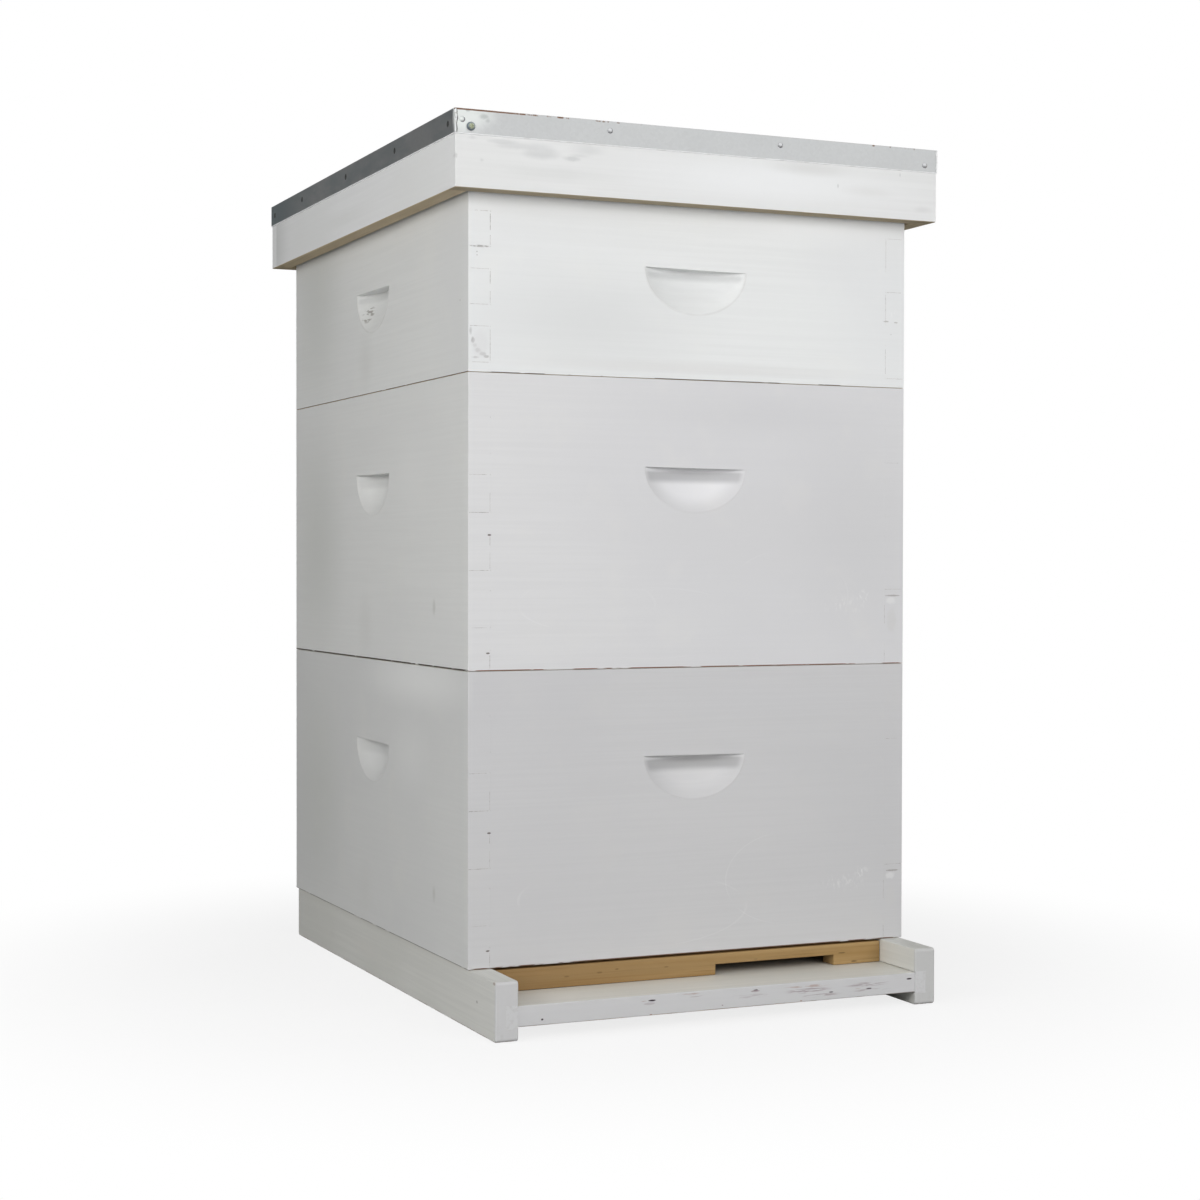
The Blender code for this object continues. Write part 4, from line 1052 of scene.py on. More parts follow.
def galvanised(name, base=(0.622, 0.634, 0.637), rough=0.44, flake=0.03):
    s = Shader(name)
    flakes = s.new("ShaderNodeTexVoronoi", feature="F1")
    s.put(flakes.inputs["Vector"], s.stretched((90, 90, 90)))
    flakes.inputs["Randomness"].default_value = 1.0
    tone = s.xyz(flakes.outputs["Color"])[0]
    cloud = s.noise(scale=11.0, detail=3.0)
    fine = s.noise(scale=520.0, detail=2.0)
    brushed = s.noise(s.stretched((9, 9, 700)), detail=2.0)
    low = tuple(c * (1 - flake) for c in base)
    high = tuple(min(1.0, c * (1 + flake)) for c in base)
    colour = s.mix(tone, low, high)
    colour = s.mix(s.ramp(cloud, 0.45, 0.75, 0.0, 0.35), colour, tuple(c * 0.93 for c in base))
    x, y, z = s.xyz()
    on_front = s.ramp(y, CAP_LOW.y + 0.0016, CAP_LOW.y + 0.0010)
    # The flanks are darker and patchy, partly weathering and partly painted shade that deepens towards the far end
    flank = s.ramp(s.math("ABSOLUTE", x), CAP_HIGH.x - 0.0006, CAP_HIGH.x - 0.0002)
    patch = s.noise(s.stretched((16, 16, 60)), detail=3.0, rough=0.6)
    aged_and_shaded = s.math("MULTIPLY", flank, s.ramp(patch, 0.35, 0.68, 0.0, 0.55))
    aged_and_shaded = s.math("MAXIMUM", aged_and_shaded, s.math("MULTIPLY", flank, s.ramp(y, 0.14, 0.27, 0.0, 1.0)))
    colour = s.mix(aged_and_shaded, colour, (0.40, 0.465, 0.485))
    chalk = s.blot((-226, -256.4, 741), (40, 6, 18), 0.7, 0.35, 70.0)
    colour = s.mix(s.math("MULTIPLY", chalk, 0.9), colour, (0.80, 0.83, 0.81))
    for cx, cz, sx, sz, power in ((-201.5, 741.5, 5.5, 3.4, 0.50), (-198.0, 738.3, 3.2, 2.2, 0.40), (-215.0, 745.3, 3.0, 1.2, 0.6)):
        smudge = s.blot((cx, -256.4, cz), (sx, 6, sz), 0.8, 0.9, 260.0)
        colour = s.mix(s.math("MULTIPLY", smudge, power), colour, (0.36, 0.39, 0.38))
    # Rust and bare spots along the fold
    spots = s.noise(s.stretched((170, 170, 60)), detail=3.0)
    drift = s.noise(s.stretched((9, 9, 9), (4, 0, 0)), detail=1.0)
    fold = s.ramp(z, CAP_HIGH.z - 0.0017, CAP_HIGH.z - 0.0011)
    reach = s.ramp(x, -0.200, -0.085, 0.34, 0.0, smooth=False)
    rusty = s.ramp(s.math("ADD", s.math("MULTIPLY_ADD", drift, 0.35, spots), reach), 0.80, 0.92)
    rust = s.math("MULTIPLY", fold, rusty)
    rust = s.math("MULTIPLY", rust, on_front)
    colour = s.mix(rust, colour, (0.17, 0.075, 0.035))
    # Rain and handling on the flat top: spangle, tide marks, chalk and dirt
    on_top = s.ramp(z, CAP_HIGH.z - 0.00055, CAP_HIGH.z - 0.0002)
    spangle = s.new("ShaderNodeTexVoronoi", feature="F1")
    s.put(spangle.inputs["Vector"], s.stretched((150, 150, 150), (3, 1, 2)))
    crystal = s.xyz(spangle.outputs["Color"])[1]
    pools = s.noise(s.stretched((5.5, 5.5, 5.5), (1.7, 0.4, 0)), detail=4.0, rough=0.62)
    tide = s.math("MULTIPLY", s.ramp(pools, 0.50, 0.56), s.ramp(pools, 0.58, 0.68, 1.0, 0.0))
    scuffs = s.noise(s.stretched((160, 9, 160), (0.5, 0.1, 0)), detail=3.0)
    colour = s.mix(s.math("MULTIPLY", on_top, s.math("MULTIPLY", crystal, 0.35)), colour, tuple(min(1.0, c * 1.3) for c in base))
    colour = s.mix(s.math("MULTIPLY", on_top, s.ramp(pools, 0.46, 0.62, 0.0, 0.40)), colour, (0.45, 0.44, 0.41))
    colour = s.mix(s.math("MULTIPLY", on_top, s.math("MULTIPLY", tide, 0.55)), colour, (0.74, 0.75, 0.73))
    colour = s.mix(s.math("MULTIPLY", on_top, s.ramp(scuffs, 0.64, 0.74, 0.0, 0.45)), colour, (0.80, 0.81, 0.81))
    roughness = s.math("MULTIPLY_ADD", tone, 0.05, s.math("MULTIPLY_ADD", cloud, 0.08, rough - 0.05))
    roughness = s.math("MULTIPLY_ADD", s.math("MULTIPLY", on_top, pools), 0.28, roughness)
    metallic = s.math("SUBTRACT", 1.0, s.math("MAXIMUM", s.math("MULTIPLY", chalk, 0.75), rust))
    waves = s.noise(scale=7.0, detail=1.0)
    height = s.math("MULTIPLY_ADD", waves, 1.0, s.math("MULTIPLY", fine, 0.02))
    height = s.math("MULTIPLY_ADD", brushed, 0.02, height)
    return s.done(colour, roughness, s.bump(height, 0.2, 0.002), metallic=metallic)


SHEET = galvanised("galvanised_sheet")
dress("cover_metal_cap", SHEET, 0.0006, 3)

# A bead of paint closing the line between the rims and the cap's flanges
bm = bmesh.new()
out_x, z0, z1 = CAP_HIGH.x - 0.00008, CAP_LOW.z - 0.0009, CAP_LOW.z + 0.0005
front_y, back_y, deep_in = CAP_LOW.y + 0.00008, CAP_HIGH.y - 0.00008, 0.0012
for x0, x1, y0, y1 in (
    (-out_x, out_x, front_y, front_y + deep_in),
    (-out_x, out_x, back_y - deep_in, back_y),
    (-out_x, -out_x + deep_in, front_y + deep_in, back_y - deep_in),
    (out_x - deep_in, out_x, front_y + deep_in, back_y - deep_in),
):
    add_prism(bm, [(x0, y0), (x1, y0), (x1, y1), (x0, y1)], "Z", z0, z1)
line_paint = Shader("rim_line_paint")
speck = line_paint.noise(scale=200.0, detail=2.0)
rim_line = mesh_object(
    "cover_rim_line",
    bm,
    line_paint.done(
        line_paint.mix(line_paint.ramp(speck, 0.4, 0.7), (0.90, 0.905, 0.915), (0.80, 0.80, 0.80)),
        line_paint.math("MULTIPLY_ADD", speck, 0.2, 0.4),
        line_paint.bump(speck, 0.3, 0.0003),
    ),
    "outer_cover",
)
soften(rim_line, 0.00018, 2, weld=False)

# Folded corner tabs of the cap, nails, and the screw's head
ZINC_NAIL = galvanised("nail_steel", base=(0.66, 0.67, 0.68), rough=0.38)
bm = bmesh.new()
for sx in (-1, 1):
    for sy, face in ((-1, CAP_LOW.y), (1, CAP_HIGH.y)):
        x_out = sx * (CAP_HIGH.x - 0.0002)
        x_in = sx * (CAP_HIGH.x - 0.0015)
        z0, z1 = CAP_LOW.z + 0.0002, CAP_HIGH.z - 0.0007
        steps = 9
        outline = [(x_out, z0), (x_out, z1)]
        for k in range(steps + 1):
            t = k / steps
            wander = 0.00028 * math.sin(7.3 * t + sx) + 0.00018 * math.sin(17.0 * t)
            outline.append((x_in - sx * wander, z1 + (z0 - z1) * t))
        # The back face is the end of the CAD box, so the tabs lie flatter there
        out = face + sy * (0.00045 if sy < 0 else 0.00014)
        seam_out = face + sy * (0.00015 if sy < 0 else 0.00006)
        root = face - sy * 0.00005
        add_prism(bm, outline, "Y", *sorted((root, out)))
        # The open seam beside the tab, ragged and not quite its full height, coloured dark: a painted shadow in the
        # seam
        inner = [v for v in outline[2:]]
        seam_line = [(px - sx * (0.00085 + 0.00022 * math.sin(5.0 * i + sx)), pz) for i, (px, pz) in enumerate(inner)]
        if sx * sy > 0 or sy > 0:
            add_prism(bm, inner + seam_line[::-1], "Y", *sorted((root, seam_out)), 1)
s = Shader("tab_solder")
fine = s.noise(scale=480.0, detail=3.0)
cloudy = s.noise(scale=120.0, detail=2.0)
TAB = s.done(
    s.mix(s.ramp(fine, 0.50, 0.75), (0.86, 0.87, 0.87), s.mix(s.ramp(cloudy, 0.4, 0.6), (0.60, 0.62, 0.62), (0.42, 0.40, 0.38))),
    s.math("MULTIPLY_ADD", fine, 0.2, 0.4),
    s.bump(fine, 0.3, 0.0003),
    metallic=0.25,
)
# Dark seam colour: a painted shadow
s = Shader("tab_seam_shadow")
fine = s.noise(s.stretched((300, 300, 230)), detail=2.0)
SEAM_SHADOW = s.done(
    s.mix(s.ramp(fine, 0.50, 0.62), (0.12, 0.115, 0.11), (0.50, 0.50, 0.49)),
    s.math("MULTIPLY_ADD", fine, 0.2, 0.6),
    s.bump(fine, 0.4, 0.0003),
)
tabs = mesh_object("cover_corner_tabs", bm, [TAB, SEAM_SHADOW], "outer_cover")
soften(tabs, 0.00012, 2, weld=False)


def nail_head(bm, centre, normal, radius=0.0021, height=0.0006, dimple=True):
    r, h = radius, height
    profile = [(0.0, h * 1.25), (r * 0.45, h * 1.2), (r * 0.8, h), (r * 0.97, h * 0.55), (r, 0.0), (r * 0.6, -0.0002), (0.0, -0.0002)]
    add_turned(bm, profile, centre, normal, 20)


bm = bmesh.new()
CAP_FRONT, CAP_BACK = CAP_LOW.y, CAP_HIGH.y
for x, z in ((-220.4, 738.45), (-90.2, 739.3), (69.05, 739.7), (212.98, 733.1)):
    nail_head(bm, (x * MM, CAP_FRONT, z * MM), (0, -1, 0))
# A dark ring set off to the lower right of each front nail: a painted shadow round the head where the sheet is dimpled
NAIL_SHADOW_RING = Shader("nail_dimple_shadow")
fine = NAIL_SHADOW_RING.noise(scale=700.0, detail=2.0)
NAIL_SHADOW_RING = NAIL_SHADOW_RING.done(
    NAIL_SHADOW_RING.mix(NAIL_SHADOW_RING.ramp(fine, 0.42, 0.62), (0.13, 0.14, 0.18), (0.42, 0.40, 0.38)),
    NAIL_SHADOW_RING.math("MULTIPLY_ADD", fine, 0.2, 0.45),
    NAIL_SHADOW_RING.bump(fine, 0.4, 0.0003),
    metallic=0.5,
)
for k, (x, z, grow) in enumerate(((-220.4, 738.45, 0.75), (-90.2, 739.3, 0.35), (69.05, 739.7, 0.35), (212.98, 733.1, 0.6))):
    first_face = len(bm.faces)
    profile = [(0.0, 0.00012), (0.0021, 0.00012), (0.0023, 0.0), (0.0, -0.0001)]
    add_turned(bm, profile, ((x + grow) * MM, CAP_FRONT, (z - grow * 0.6) * MM), (0, -1, 0), 20)
    bm.faces.ensure_lookup_table()
    for face in bm.faces[first_face:]:
        face.material_index = 1
mesh_object("cover_cap_nails", bm, [ZINC_NAIL, NAIL_SHADOW_RING], "outer_cover", smooth=True)

# On the flanks and the back the nails are driven flush and have darkened
bm = bmesh.new()
for x, z in ((-214, 737.5), (-72, 738.6), (84, 738.9), (214, 737.2)):
    nail_head(bm, (x * MM, CAP_BACK, z * MM), (0, 1, 0), height=0.00008)
for y, z in ((-240.2, 736.5), (-105.0, 737.8), (36.6, 737.8), (180.0, 738.3), (278.9, 736.6)):
    nail_head(bm, (CAP_LOW.x, y * MM, z * MM), (-1, 0, 0), radius=0.0027, height=0.00008)
for y, z in ((-236.0, 737.2), (-98.0, 738.0), (44.0, 737.4), (172.0, 738.4), (276.0, 737.0)):
    nail_head(bm, (CAP_HIGH.x, y * MM, z * MM), (1, 0, 0), height=0.00008)
s = Shader("flush_nail")
fine = s.noise(scale=900.0, detail=3.0)
spot = s.noise(scale=330.0, detail=1.0)
mesh_object(
    "cover_flush_nails",
    bm,
    s.done(
        s.mix(s.ramp(fine, 0.45, 0.70), (0.055, 0.058, 0.058), (0.22, 0.22, 0.21)),
        s.math("MULTIPLY_ADD", spot, 0.4, 0.25),
        s.bump(fine, 0.5, 0.0004),
        metallic=0.7,
    ),
    "outer_cover",
    smooth=True,
)

# Screw: the CAD screw's head with a cross recess
SCREW_LOW, SCREW_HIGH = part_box("cover_screw")
screw_x = (SCREW_LOW.x + SCREW_HIGH.x) / 2
screw_z = (SCREW_LOW.z + SCREW_HIGH.z) / 2
s = Shader("screw_zinc")
x, y, z = s.xyz()
away = s.vmath("SUBTRACT", s.pos, (screw_x, 0.0, screw_z))
away = s.vmath("MULTIPLY", away, (1, 0, 1))
rim = s.ramp(s.vmath("LENGTH", away), 0.0012, 0.0032)
tarnish = s.noise(scale=900.0, detail=3.0)
colour = s.mix(rim, (0.62, 0.66, 0.46), (0.26, 0.31, 0.35))
colour = s.mix(s.ramp(tarnish, 0.4, 0.7, 0.0, 0.5), colour, (0.16, 0.19, 0.21))
SCREW = s.done(colour, s.math("MULTIPLY_ADD", tarnish, 0.3, 0.25), s.bump(tarnish, 0.3, 0.0002), metallic=0.9)
bm = bmesh.new()
R = (SCREW_HIGH.x - SCREW_LOW.x) / 2
add_turned(
    bm,
    [
        (0.0, 0.00245),
        (R * 0.25, 0.0024),
        (R * 0.5, 0.0022),
        (R * 0.75, 0.0017),
        (R * 0.92, 0.0011),
        (R, 0.0005),
        (R * 0.99, 0.0),
        (R * 0.55, 0.0),
        (R * 0.55, -0.019),
        (R * 0.3, -0.0208),
        (0.0, -0.021),
    ],
    (screw_x, CAP_FRONT - 0.0002, screw_z),
    (0, -1, 0),
    32,
)
screw = mesh_object("cover_screw_head", bm, SCREW, "outer_cover")
cross = bmesh.new()
for half_x, half_z in ((0.0019, 0.00042), (0.00042, 0.0019)):
    add_prism(
        cross,
        [(screw_x - half_x, screw_z - half_z), (screw_x + half_x, screw_z - half_z), (screw_x + half_x, screw_z + half_z), (screw_x - half_x, screw_z + half_z)],
        "Y",
        CAP_FRONT - 0.0040,
        CAP_FRONT - 0.0014,
    )
cutter_mesh = bpy.data.meshes.new("cross_cutter")
cross.to_mesh(cutter_mesh)
cross.free()
cutter = bpy.data.objects.new("cross_cutter", cutter_mesh)
COLLECTION.objects.link(cutter)
recess = screw.modifiers.new("recess", "BOOLEAN")
recess.operation = "DIFFERENCE"
recess.solver = "EXACT"
recess.use_self = True
recess.object = cutter
bpy.context.view_layer.update()
graph = bpy.context.evaluated_depsgraph_get()
cut_mesh = bpy.data.meshes.new_from_object(screw.evaluated_get(graph), depsgraph=graph)
screw.modifiers.clear()
screw.data = cut_mesh
bpy.data.objects.remove(cutter, do_unlink=True)
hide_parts("cover_screw")

# ------------------------------------------------------------------ frames

FRAME_WOODS = []
for k, (pale, mid, dark) in enumerate(
    (
        ((0.66, 0.50, 0.30), (0.56, 0.40, 0.215), (0.40, 0.26, 0.13)),
        ((0.63, 0.46, 0.27), (0.52, 0.36, 0.19), (0.37, 0.235, 0.115)),
        ((0.69, 0.53, 0.33), (0.60, 0.435, 0.245), (0.43, 0.29, 0.15)),
    )
):
    s = Shader(f"frame_pine_{k}")
    lengthwise, h1 = bare_wood(s, "Y", 80 + k, pale=pale, mid=mid, dark=dark)
    upright, h2 = bare_wood(s, "Z", 90 + k, pale=pale, mid=mid, dark=dark)
    x, y, z = s.xyz()
    on_end = s.ramp(s.math("ABSOLUTE", y), 0.2135, 0.2142)
    below = s.ramp(z, -0.0105, -0.0098, 1.0, 0.0)
    use = s.math("MULTIPLY", on_end, below)
    colour = s.mix(use, lengthwise, upright)
    height = s.math("ADD", s.math("MULTIPLY", h2, use), s.math("MULTIPLY", h1, s.math("SUBTRACT", 1.0, use)))
    FRAME_WOODS.append(s.done(colour, s.math("MULTIPLY_ADD", height, 0.2, 0.55), s.bump(height, 0.4, 0.0008), spec=0.3))

s = Shader("wax_foundation")
x, y, z = s.xyz()
CELL = 0.0049
hexes = None
for turn in (0.0, math.pi / 3, 2 * math.pi / 3):
    phase = s.math(
        "ADD",
        s.math("MULTIPLY", y, 2 * math.pi / CELL * math.cos(turn)),
        s.math("MULTIPLY", z, 2 * math.pi / CELL * math.sin(turn)),
    )
    wave = s.math("COSINE", phase)
    hexes = wave if hexes is None else s.math("ADD", hexes, wave)
walls = s.ramp(hexes, -1.5, 0.2, 1.0, 0.0)
stain = s.noise(scale=22.0, detail=3.0)
colour = s.mix(s.ramp(stain, 0.35, 0.7), (0.74, 0.52, 0.14), (0.60, 0.37, 0.08))
colour = s.mix(s.math("MULTIPLY", walls, 0.45), colour, (0.86, 0.67, 0.27))
WAX = s.done(colour, s.math("MULTIPLY_ADD", stain, 0.2, 0.32), s.bump(walls, 0.7, 0.0009), spec=0.5)
WAX.node_tree.nodes["Principled BSDF"].inputs["Subsurface Weight"].default_value = 0.0

s = Shader("frame_wire_nails")
tarnish = s.noise(scale=700.0, detail=2.0)
STEEL = s.done(
    s.mix(s.ramp(tarnish, 0.4, 0.7), (0.55, 0.56, 0.57), (0.36, 0.36, 0.36)),
    s.math("MULTIPLY_ADD", tarnish, 0.2, 0.3),
    metallic=1.0,
)


def frame_mesh(name, height, wood):
    """A hanging frame with its parts shaped: grooved top bar with lugs, waisted
    end bars, grooved bottom bar, wax foundation and nail heads. Its
    origin is the middle of the top bar's upper face."""
    bm = bmesh.new()
    arm, shoulder, half = 0.2413, 0.2254, 0.0135
    ease = 0.0012
    # Top bar, with a shallow wedge cleat groove on its underside
    add_prism(
        bm,
        [
            (-arm, -ease),
            (-arm + ease, 0.0),
            (arm - ease, 0.0),
            (arm, -ease),
            (arm, -0.0095 + ease),
            (arm - ease, -0.0095),
            (shoulder + 0.004, -0.0095),
            (shoulder, -0.0115),
            (shoulder, -0.0186),
            (shoulder - ease, -0.019),
            (-shoulder + ease, -0.019),
            (-shoulder, -0.0186),
            (-shoulder, -0.0115),
            (-shoulder - 0.004, -0.0095),
            (-arm + ease, -0.0095),
            (-arm, -0.0095 + ease),
        ],
        "X",
        -half,
        half,
    )
    # End bars, notched round the top bar's neck, waisted lower down
    wide, foot = 0.01745, 0.0143
    waist = -0.42 * height
    for side in (-1, 1):
        y0, y1 = sorted((side * 0.21435, side * 0.22385))
        outline = [(-wide, -0.0012), (-wide + 0.0012, -0.0002), (-half - 0.0002, -0.0002), (-half - 0.0002, -0.0188), (half + 0.0002, -0.0188), (half + 0.0002, -0.0002), (wide - 0.0012, -0.0002), (wide, -0.0012)]
        steps = 8
        right = []
        for k in range(steps + 1):
            t = k / steps
            ease_t = t * t * (3 - 2 * t)
            right.append((wide + (foot - wide) * ease_t, waist - 0.014 * t))
        right.append((foot, -height + 0.0018))
        right.append((foot - 0.0008, -height + 0.001))
        outline += right + [(-a, b) for a, b in reversed(right)]
        add_prism(bm, list(reversed(outline)), "Y", y0, y1)
    # Bottom bar in two strips either side of the foundation
    for side in (-1, 1):
        x0, x1 = sorted((side * 0.0012, side * 0.0095))
        add_block(bm, (x0, -0.2233, -height), (x1, 0.2233, -height + 0.0095))
    wood_faces = len(bm.faces)
    # Foundation, very slightly buckled
    cols, rows = 44, 14
    y_end, z_low, z_high = 0.2155, -height + 0.0035, -0.0175
    grid = []
    for face in (-1, 1):
        sheet = []
        for i in range(cols + 1):
            line = []
            for j in range(rows + 1):
                u, v = i / cols, j / rows
                y = -y_end + 2 * y_end * u
                z = z_low + (z_high - z_low) * v
                bow = 0.0007 * math.sin(math.pi * v) * math.sin(5.2 * math.pi * u + 0.6) * math.sin(math.pi * u)
                line.append(bm.verts.new((bow + face * 0.0006, y, z)))
            sheet.append(line)
        grid.append(sheet)
    for face, sheet in zip((-1, 1), grid):
        for i in range(cols):
            for j in range(rows):
                quad = [sheet[i][j], sheet[i + 1][j], sheet[i + 1][j + 1], sheet[i][j + 1]]
                f = bm.faces.new(quad if face > 0 else list(reversed(quad)))
                f.material_index = 1
                f.smooth = True
    a, b = grid
    for i in range(cols):
        for j, flip in ((0, False), (rows, True)):
            quad = [a[i][j], a[i + 1][j], b[i + 1][j], b[i][j]]
            bm.faces.new(quad if not flip else list(reversed(quad))).material_index = 1
    for j in range(rows):
        for i, flip in ((0, True), (cols, False)):
            quad = [a[i][j], a[i][j + 1], b[i][j + 1], b[i][j]]
            bm.faces.new(quad if flip else list(reversed(quad))).material_index = 1
    # Nail heads on the end bars and top bar
    for side in (-1, 1):
        for z in (-0.0142,):
            for x in (-0.0075, 0.0075):
                add_turned(bm, [(0, 0.0003), (0.0010, 0.00025), (0.0012, 0.0), (0.0, -0.0002)], (x, side * 0.22385, -0.024), (0, side, 0), 8, 2)
        for x in (-0.0055, 0.0055):
            add_turned(bm, [(0, 0.0003), (0.0010, 0.00025), (0.0012, 0.0), (0.0, -0.0002)], (x, side * 0.218, 0.0), (0, 0, 1), 8, 2)
            add_turned(bm, [(0, 0.0003), (0.0010, 0.00025), (0.0012, 0.0), (0.0, -0.0002)], (x, side * 0.22385, -height + 0.006), (0, side, 0), 8, 2)
    mesh = bpy.data.meshes.new(name)
    bmesh.ops.recalc_face_normals(bm, faces=bm.faces[:])
    bm.to_mesh(mesh)
    bm.free()
    for mat in (wood, WAX, STEEL):
        mesh.materials.append(mat)
    return mesh


DEEP_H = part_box("lower_frame_01")[1].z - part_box("lower_frame_01")[0].z
MEDIUM_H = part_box("super_frame_01")[1].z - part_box("super_frame_01")[0].z
deep_meshes = [frame_mesh(f"deep_frame_{k}", DEEP_H, FRAME_WOODS[k]) for k in range(3)]
medium_meshes = [frame_mesh(f"medium_frame_{k}", MEDIUM_H, FRAME_WOODS[k]) for k in range(3)]
for label, meshes in (("lower_frame", deep_meshes), ("upper_frame", deep_meshes), ("super_frame", medium_meshes)):
    for k in range(10):
        node = f"{label}_{k + 1:02d}"
        low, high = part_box(node)
        obj = bpy.data.objects.new(f"{node}_wood_and_wax", meshes[(k * 2 + len(label)) % 3])
        COLLECTION.objects.link(obj)
        obj.location = ((low.x + high.x) / 2, (low.y + high.y) / 2, high.z)
        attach(obj, node)
        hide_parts(node)

# Tin frame rests on the ledges
s = Shader("tin_rest")
tarnish = s.noise(scale=60.0, detail=3.0)
TIN = s.done(
    s.mix(s.ramp(tarnish, 0.4, 0.7), (0.62, 0.63, 0.64), (0.47, 0.48, 0.48)),
    s.math("MULTIPLY_ADD", tarnish, 0.2, 0.28),
    s.bump(tarnish, 0.2, 0.0006),
    metallic=1.0,
)
for box_name, *_ in BOXES:
    low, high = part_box(f"{box_name}_front")
    for side, face in (("front", FRONT_Y + BOARD - 0.0095), ("back", BACK_Y - BOARD + 0.0095)):
        inward = 1 if side == "front" else -1
        ledge = high.z - 0.01615
        bm = bmesh.new()
        outline = [
            (face + inward * 0.00005, ledge + 0.0120),
            (face + inward * 0.0003, ledge + 0.0120),
            (face + inward * 0.0003, ledge + 0.00028),
            (face + inward * 0.0093, ledge + 0.00028),
            (face + inward * 0.0093, ledge + 0.00005),
            (face + inward * 0.00005, ledge + 0.00005),
        ]
        add_prism(bm, outline, "X", -0.1865, 0.1865)
        mesh_object(f"{box_name}_rest_{side}", bm, TIN, box_name)

# ------------------------------------------------------------------ stage

s = Shader("stage_floor")
flat = s.vmath("MULTIPLY", s.pos, (1, 1, 0))
away = s.vmath("LENGTH", flat)
tone = s.noise(scale=2.0, detail=2.0)
tree = s.tree
camera_ray = s.new("ShaderNodeLightPath").outputs["Is Camera Ray"]
seen = s.mix(tone, (0.90, 0.90, 0.90), (0.92, 0.92, 0.92))
bounced = s.mix(tone, (0.48, 0.48, 0.48), (0.52, 0.52, 0.52))
s.done(s.mix(camera_ray, bounced, seen), 0.9, spec=0.0)
glow = s.new("ShaderNodeEmission")
glow.inputs["Color"].default_value = (1, 1, 1, 1)
glow.inputs["Strength"].default_value = 1.0
edge = s.math("MULTIPLY", s.ramp(away, 0.28, 0.75, 0.80, 1.0), camera_ray)
blend = s.new("ShaderNodeMixShader")
s.put(blend.inputs[0], edge)
tree.links.new(s.bsdf.outputs[0], blend.inputs[1])
tree.links.new(glow.outputs[0], blend.inputs[2])
tree.links.new(blend.outputs[0], tree.nodes["Material Output"].inputs["Surface"])
bm = bmesh.new()
bmesh.ops.create_circle(bm, cap_ends=True, cap_tris=False, segments=96, radius=6.0)
floor = mesh_object("studio_floor", bm, s.mat, None)
floor.location = (0, 0, -0.0004)
floor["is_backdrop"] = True

world = bpy.data.worlds.new("studio")
bpy.context.scene.world = world
world.use_nodes = True
wt = world.node_tree
for node in list(wt.nodes):
    wt.nodes.remove(node)
out = wt.nodes.new("ShaderNodeOutputWorld")
coord = wt.nodes.new("ShaderNodeTexCoord")
sep = wt.nodes.new("ShaderNodeSeparateXYZ")
wt.links.new(coord.outputs["Generated"], sep.inputs[0])


def world_ramp(socket, low, high, out_low, out_high):
    node = wt.nodes.new("ShaderNodeMapRange")
    node.interpolation_type = "SMOOTHSTEP"
    wt.links.new(socket, node.inputs["Value"])
    node.inputs["From Min"].default_value = low
    node.inputs["From Max"].default_value = high
    node.inputs["To Min"].default_value = out_low
    node.inputs["To Max"].default_value = out_high
    return node.outputs["Result"]


def sky():
    node = wt.nodes.new("ShaderNodeBackground")
    node.inputs["Color"].default_value = (1, 1, 1, 1)
    return node


AMBIENT = 0.17
ambient = sky()
wt.links.new(world_ramp(sep.outputs["Z"], -0.2, 0.9, AMBIENT * 0.75, AMBIENT * 1.1), ambient.inputs["Strength"])
mirror = sky()
wt.links.new(world_ramp(sep.outputs["Y"], -0.5, 0.75, 1.15, 0.172), mirror.inputs["Strength"])
white = sky()
white.inputs["Strength"].default_value = 1.0
path = wt.nodes.new("ShaderNodeLightPath")
first = wt.nodes.new("ShaderNodeMixShader")
second = wt.nodes.new("ShaderNodeMixShader")
wt.links.new(path.outputs["Is Glossy Ray"], first.inputs[0])
wt.links.new(ambient.outputs[0], first.inputs[1])
wt.links.new(mirror.outputs[0], first.inputs[2])
wt.links.new(path.outputs["Is Camera Ray"], second.inputs[0])
wt.links.new(first.outputs[0], second.inputs[1])
wt.links.new(white.outputs[0], second.inputs[2])
wt.links.new(second.outputs[0], out.inputs["Surface"])


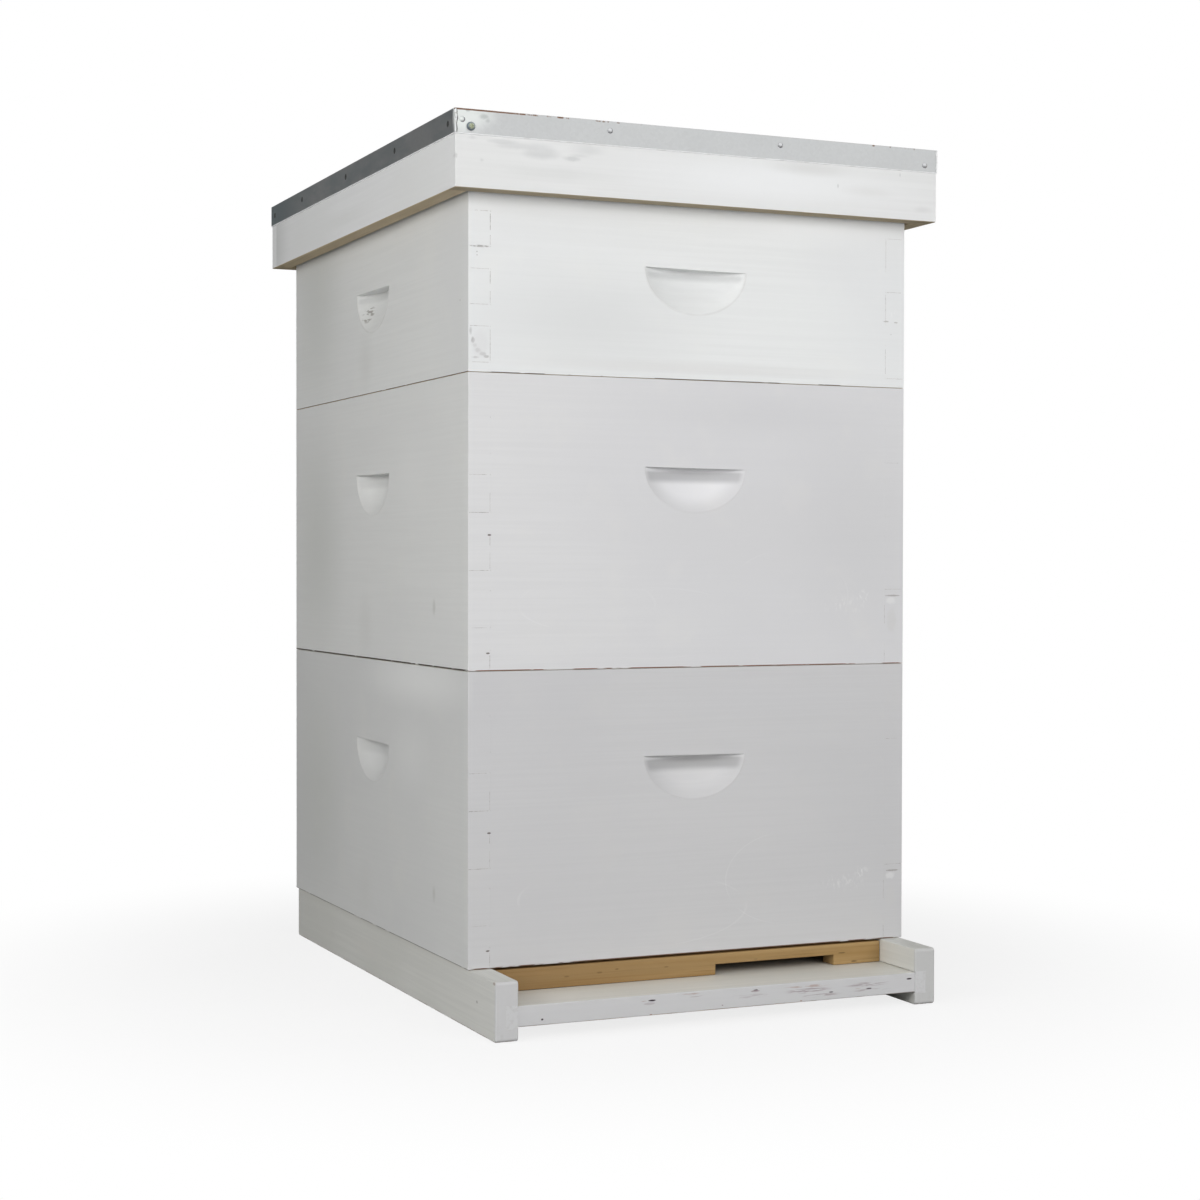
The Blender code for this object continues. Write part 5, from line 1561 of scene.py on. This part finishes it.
def softbox(name, place, aim, size, power, colour=(1, 1, 1)):
    data = bpy.data.lights.new(name, "AREA")
    data.shape = "RECTANGLE"
    data.size, data.size_y = size
    data.energy = power
    data.color = colour
    lamp = bpy.data.objects.new(name, data)
    COLLECTION.objects.link(lamp)
    lamp.location = place
    lamp.rotation_mode = "QUATERNION"
    lamp.rotation_quaternion = (Vector(aim) - Vector(place)).to_track_quat("-Z", "Y")
    lamp.visible_glossy = False
    return lamp


HIVE = (0.0, -0.1, 0.45)
softbox("near_left", (-1.0, -1.6, 1.1), HIVE, (0.8, 0.8), 4.0)
softbox("front_right", (0.7, -1.9, 0.9), HIVE, (1.3, 0.9), 13.2)
softbox("front", (0.3, -2.6, 0.7), HIVE, (1.3, 0.9), 5.8)
softbox("side", (-2.0, -0.6, 0.9), (0.0, 0.0, 0.4), (1.0, 1.0), 9.7)
softbox("corner", (-1.6, -1.1, 0.9), (0.0, -0.15, 0.4), (0.9, 0.9), 7.3)
softbox("behind_right", (2.3, 1.7, 1.5), (0.0, 0.0, 0.4), (1.6, 1.6), 9.0)
softbox("far_left", (-3.6, -1.6, 1.2), (0.0, -0.1, 0.4), (2.0, 1.6), 4.7)

scene = bpy.context.scene
scene.view_settings.view_transform = "Standard"
scene.view_settings.look = "None"

data = bpy.data.cameras.new("camera")
data.sensor_width = 36.0
data.lens = 36.0 * 2214.885 / 1200.0
data.clip_start, data.clip_end = 0.05, 50.0
camera = bpy.data.objects.new("camera", data)
COLLECTION.objects.link(camera)
yaw, pitch, roll = (math.radians(v) for v in (23.777526, -0.963169, 0.10633))
look = Vector((math.sin(yaw) * math.cos(pitch), math.cos(yaw) * math.cos(pitch), math.sin(pitch)))
right = Vector((math.cos(yaw), -math.sin(yaw), 0.0))
up = right.cross(look)
right2 = right * math.cos(roll) + up * math.sin(roll)
up2 = up * math.cos(roll) - right * math.sin(roll)
turn = Matrix((right2, up2, -look)).transposed()
camera.rotation_mode = "QUATERNION"
camera.rotation_quaternion = turn.to_quaternion()
camera.location = (-0.83660819, -1.94996384 + 0.018, 0.333769 + 0.0488)
scene.camera = camera

low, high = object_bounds()
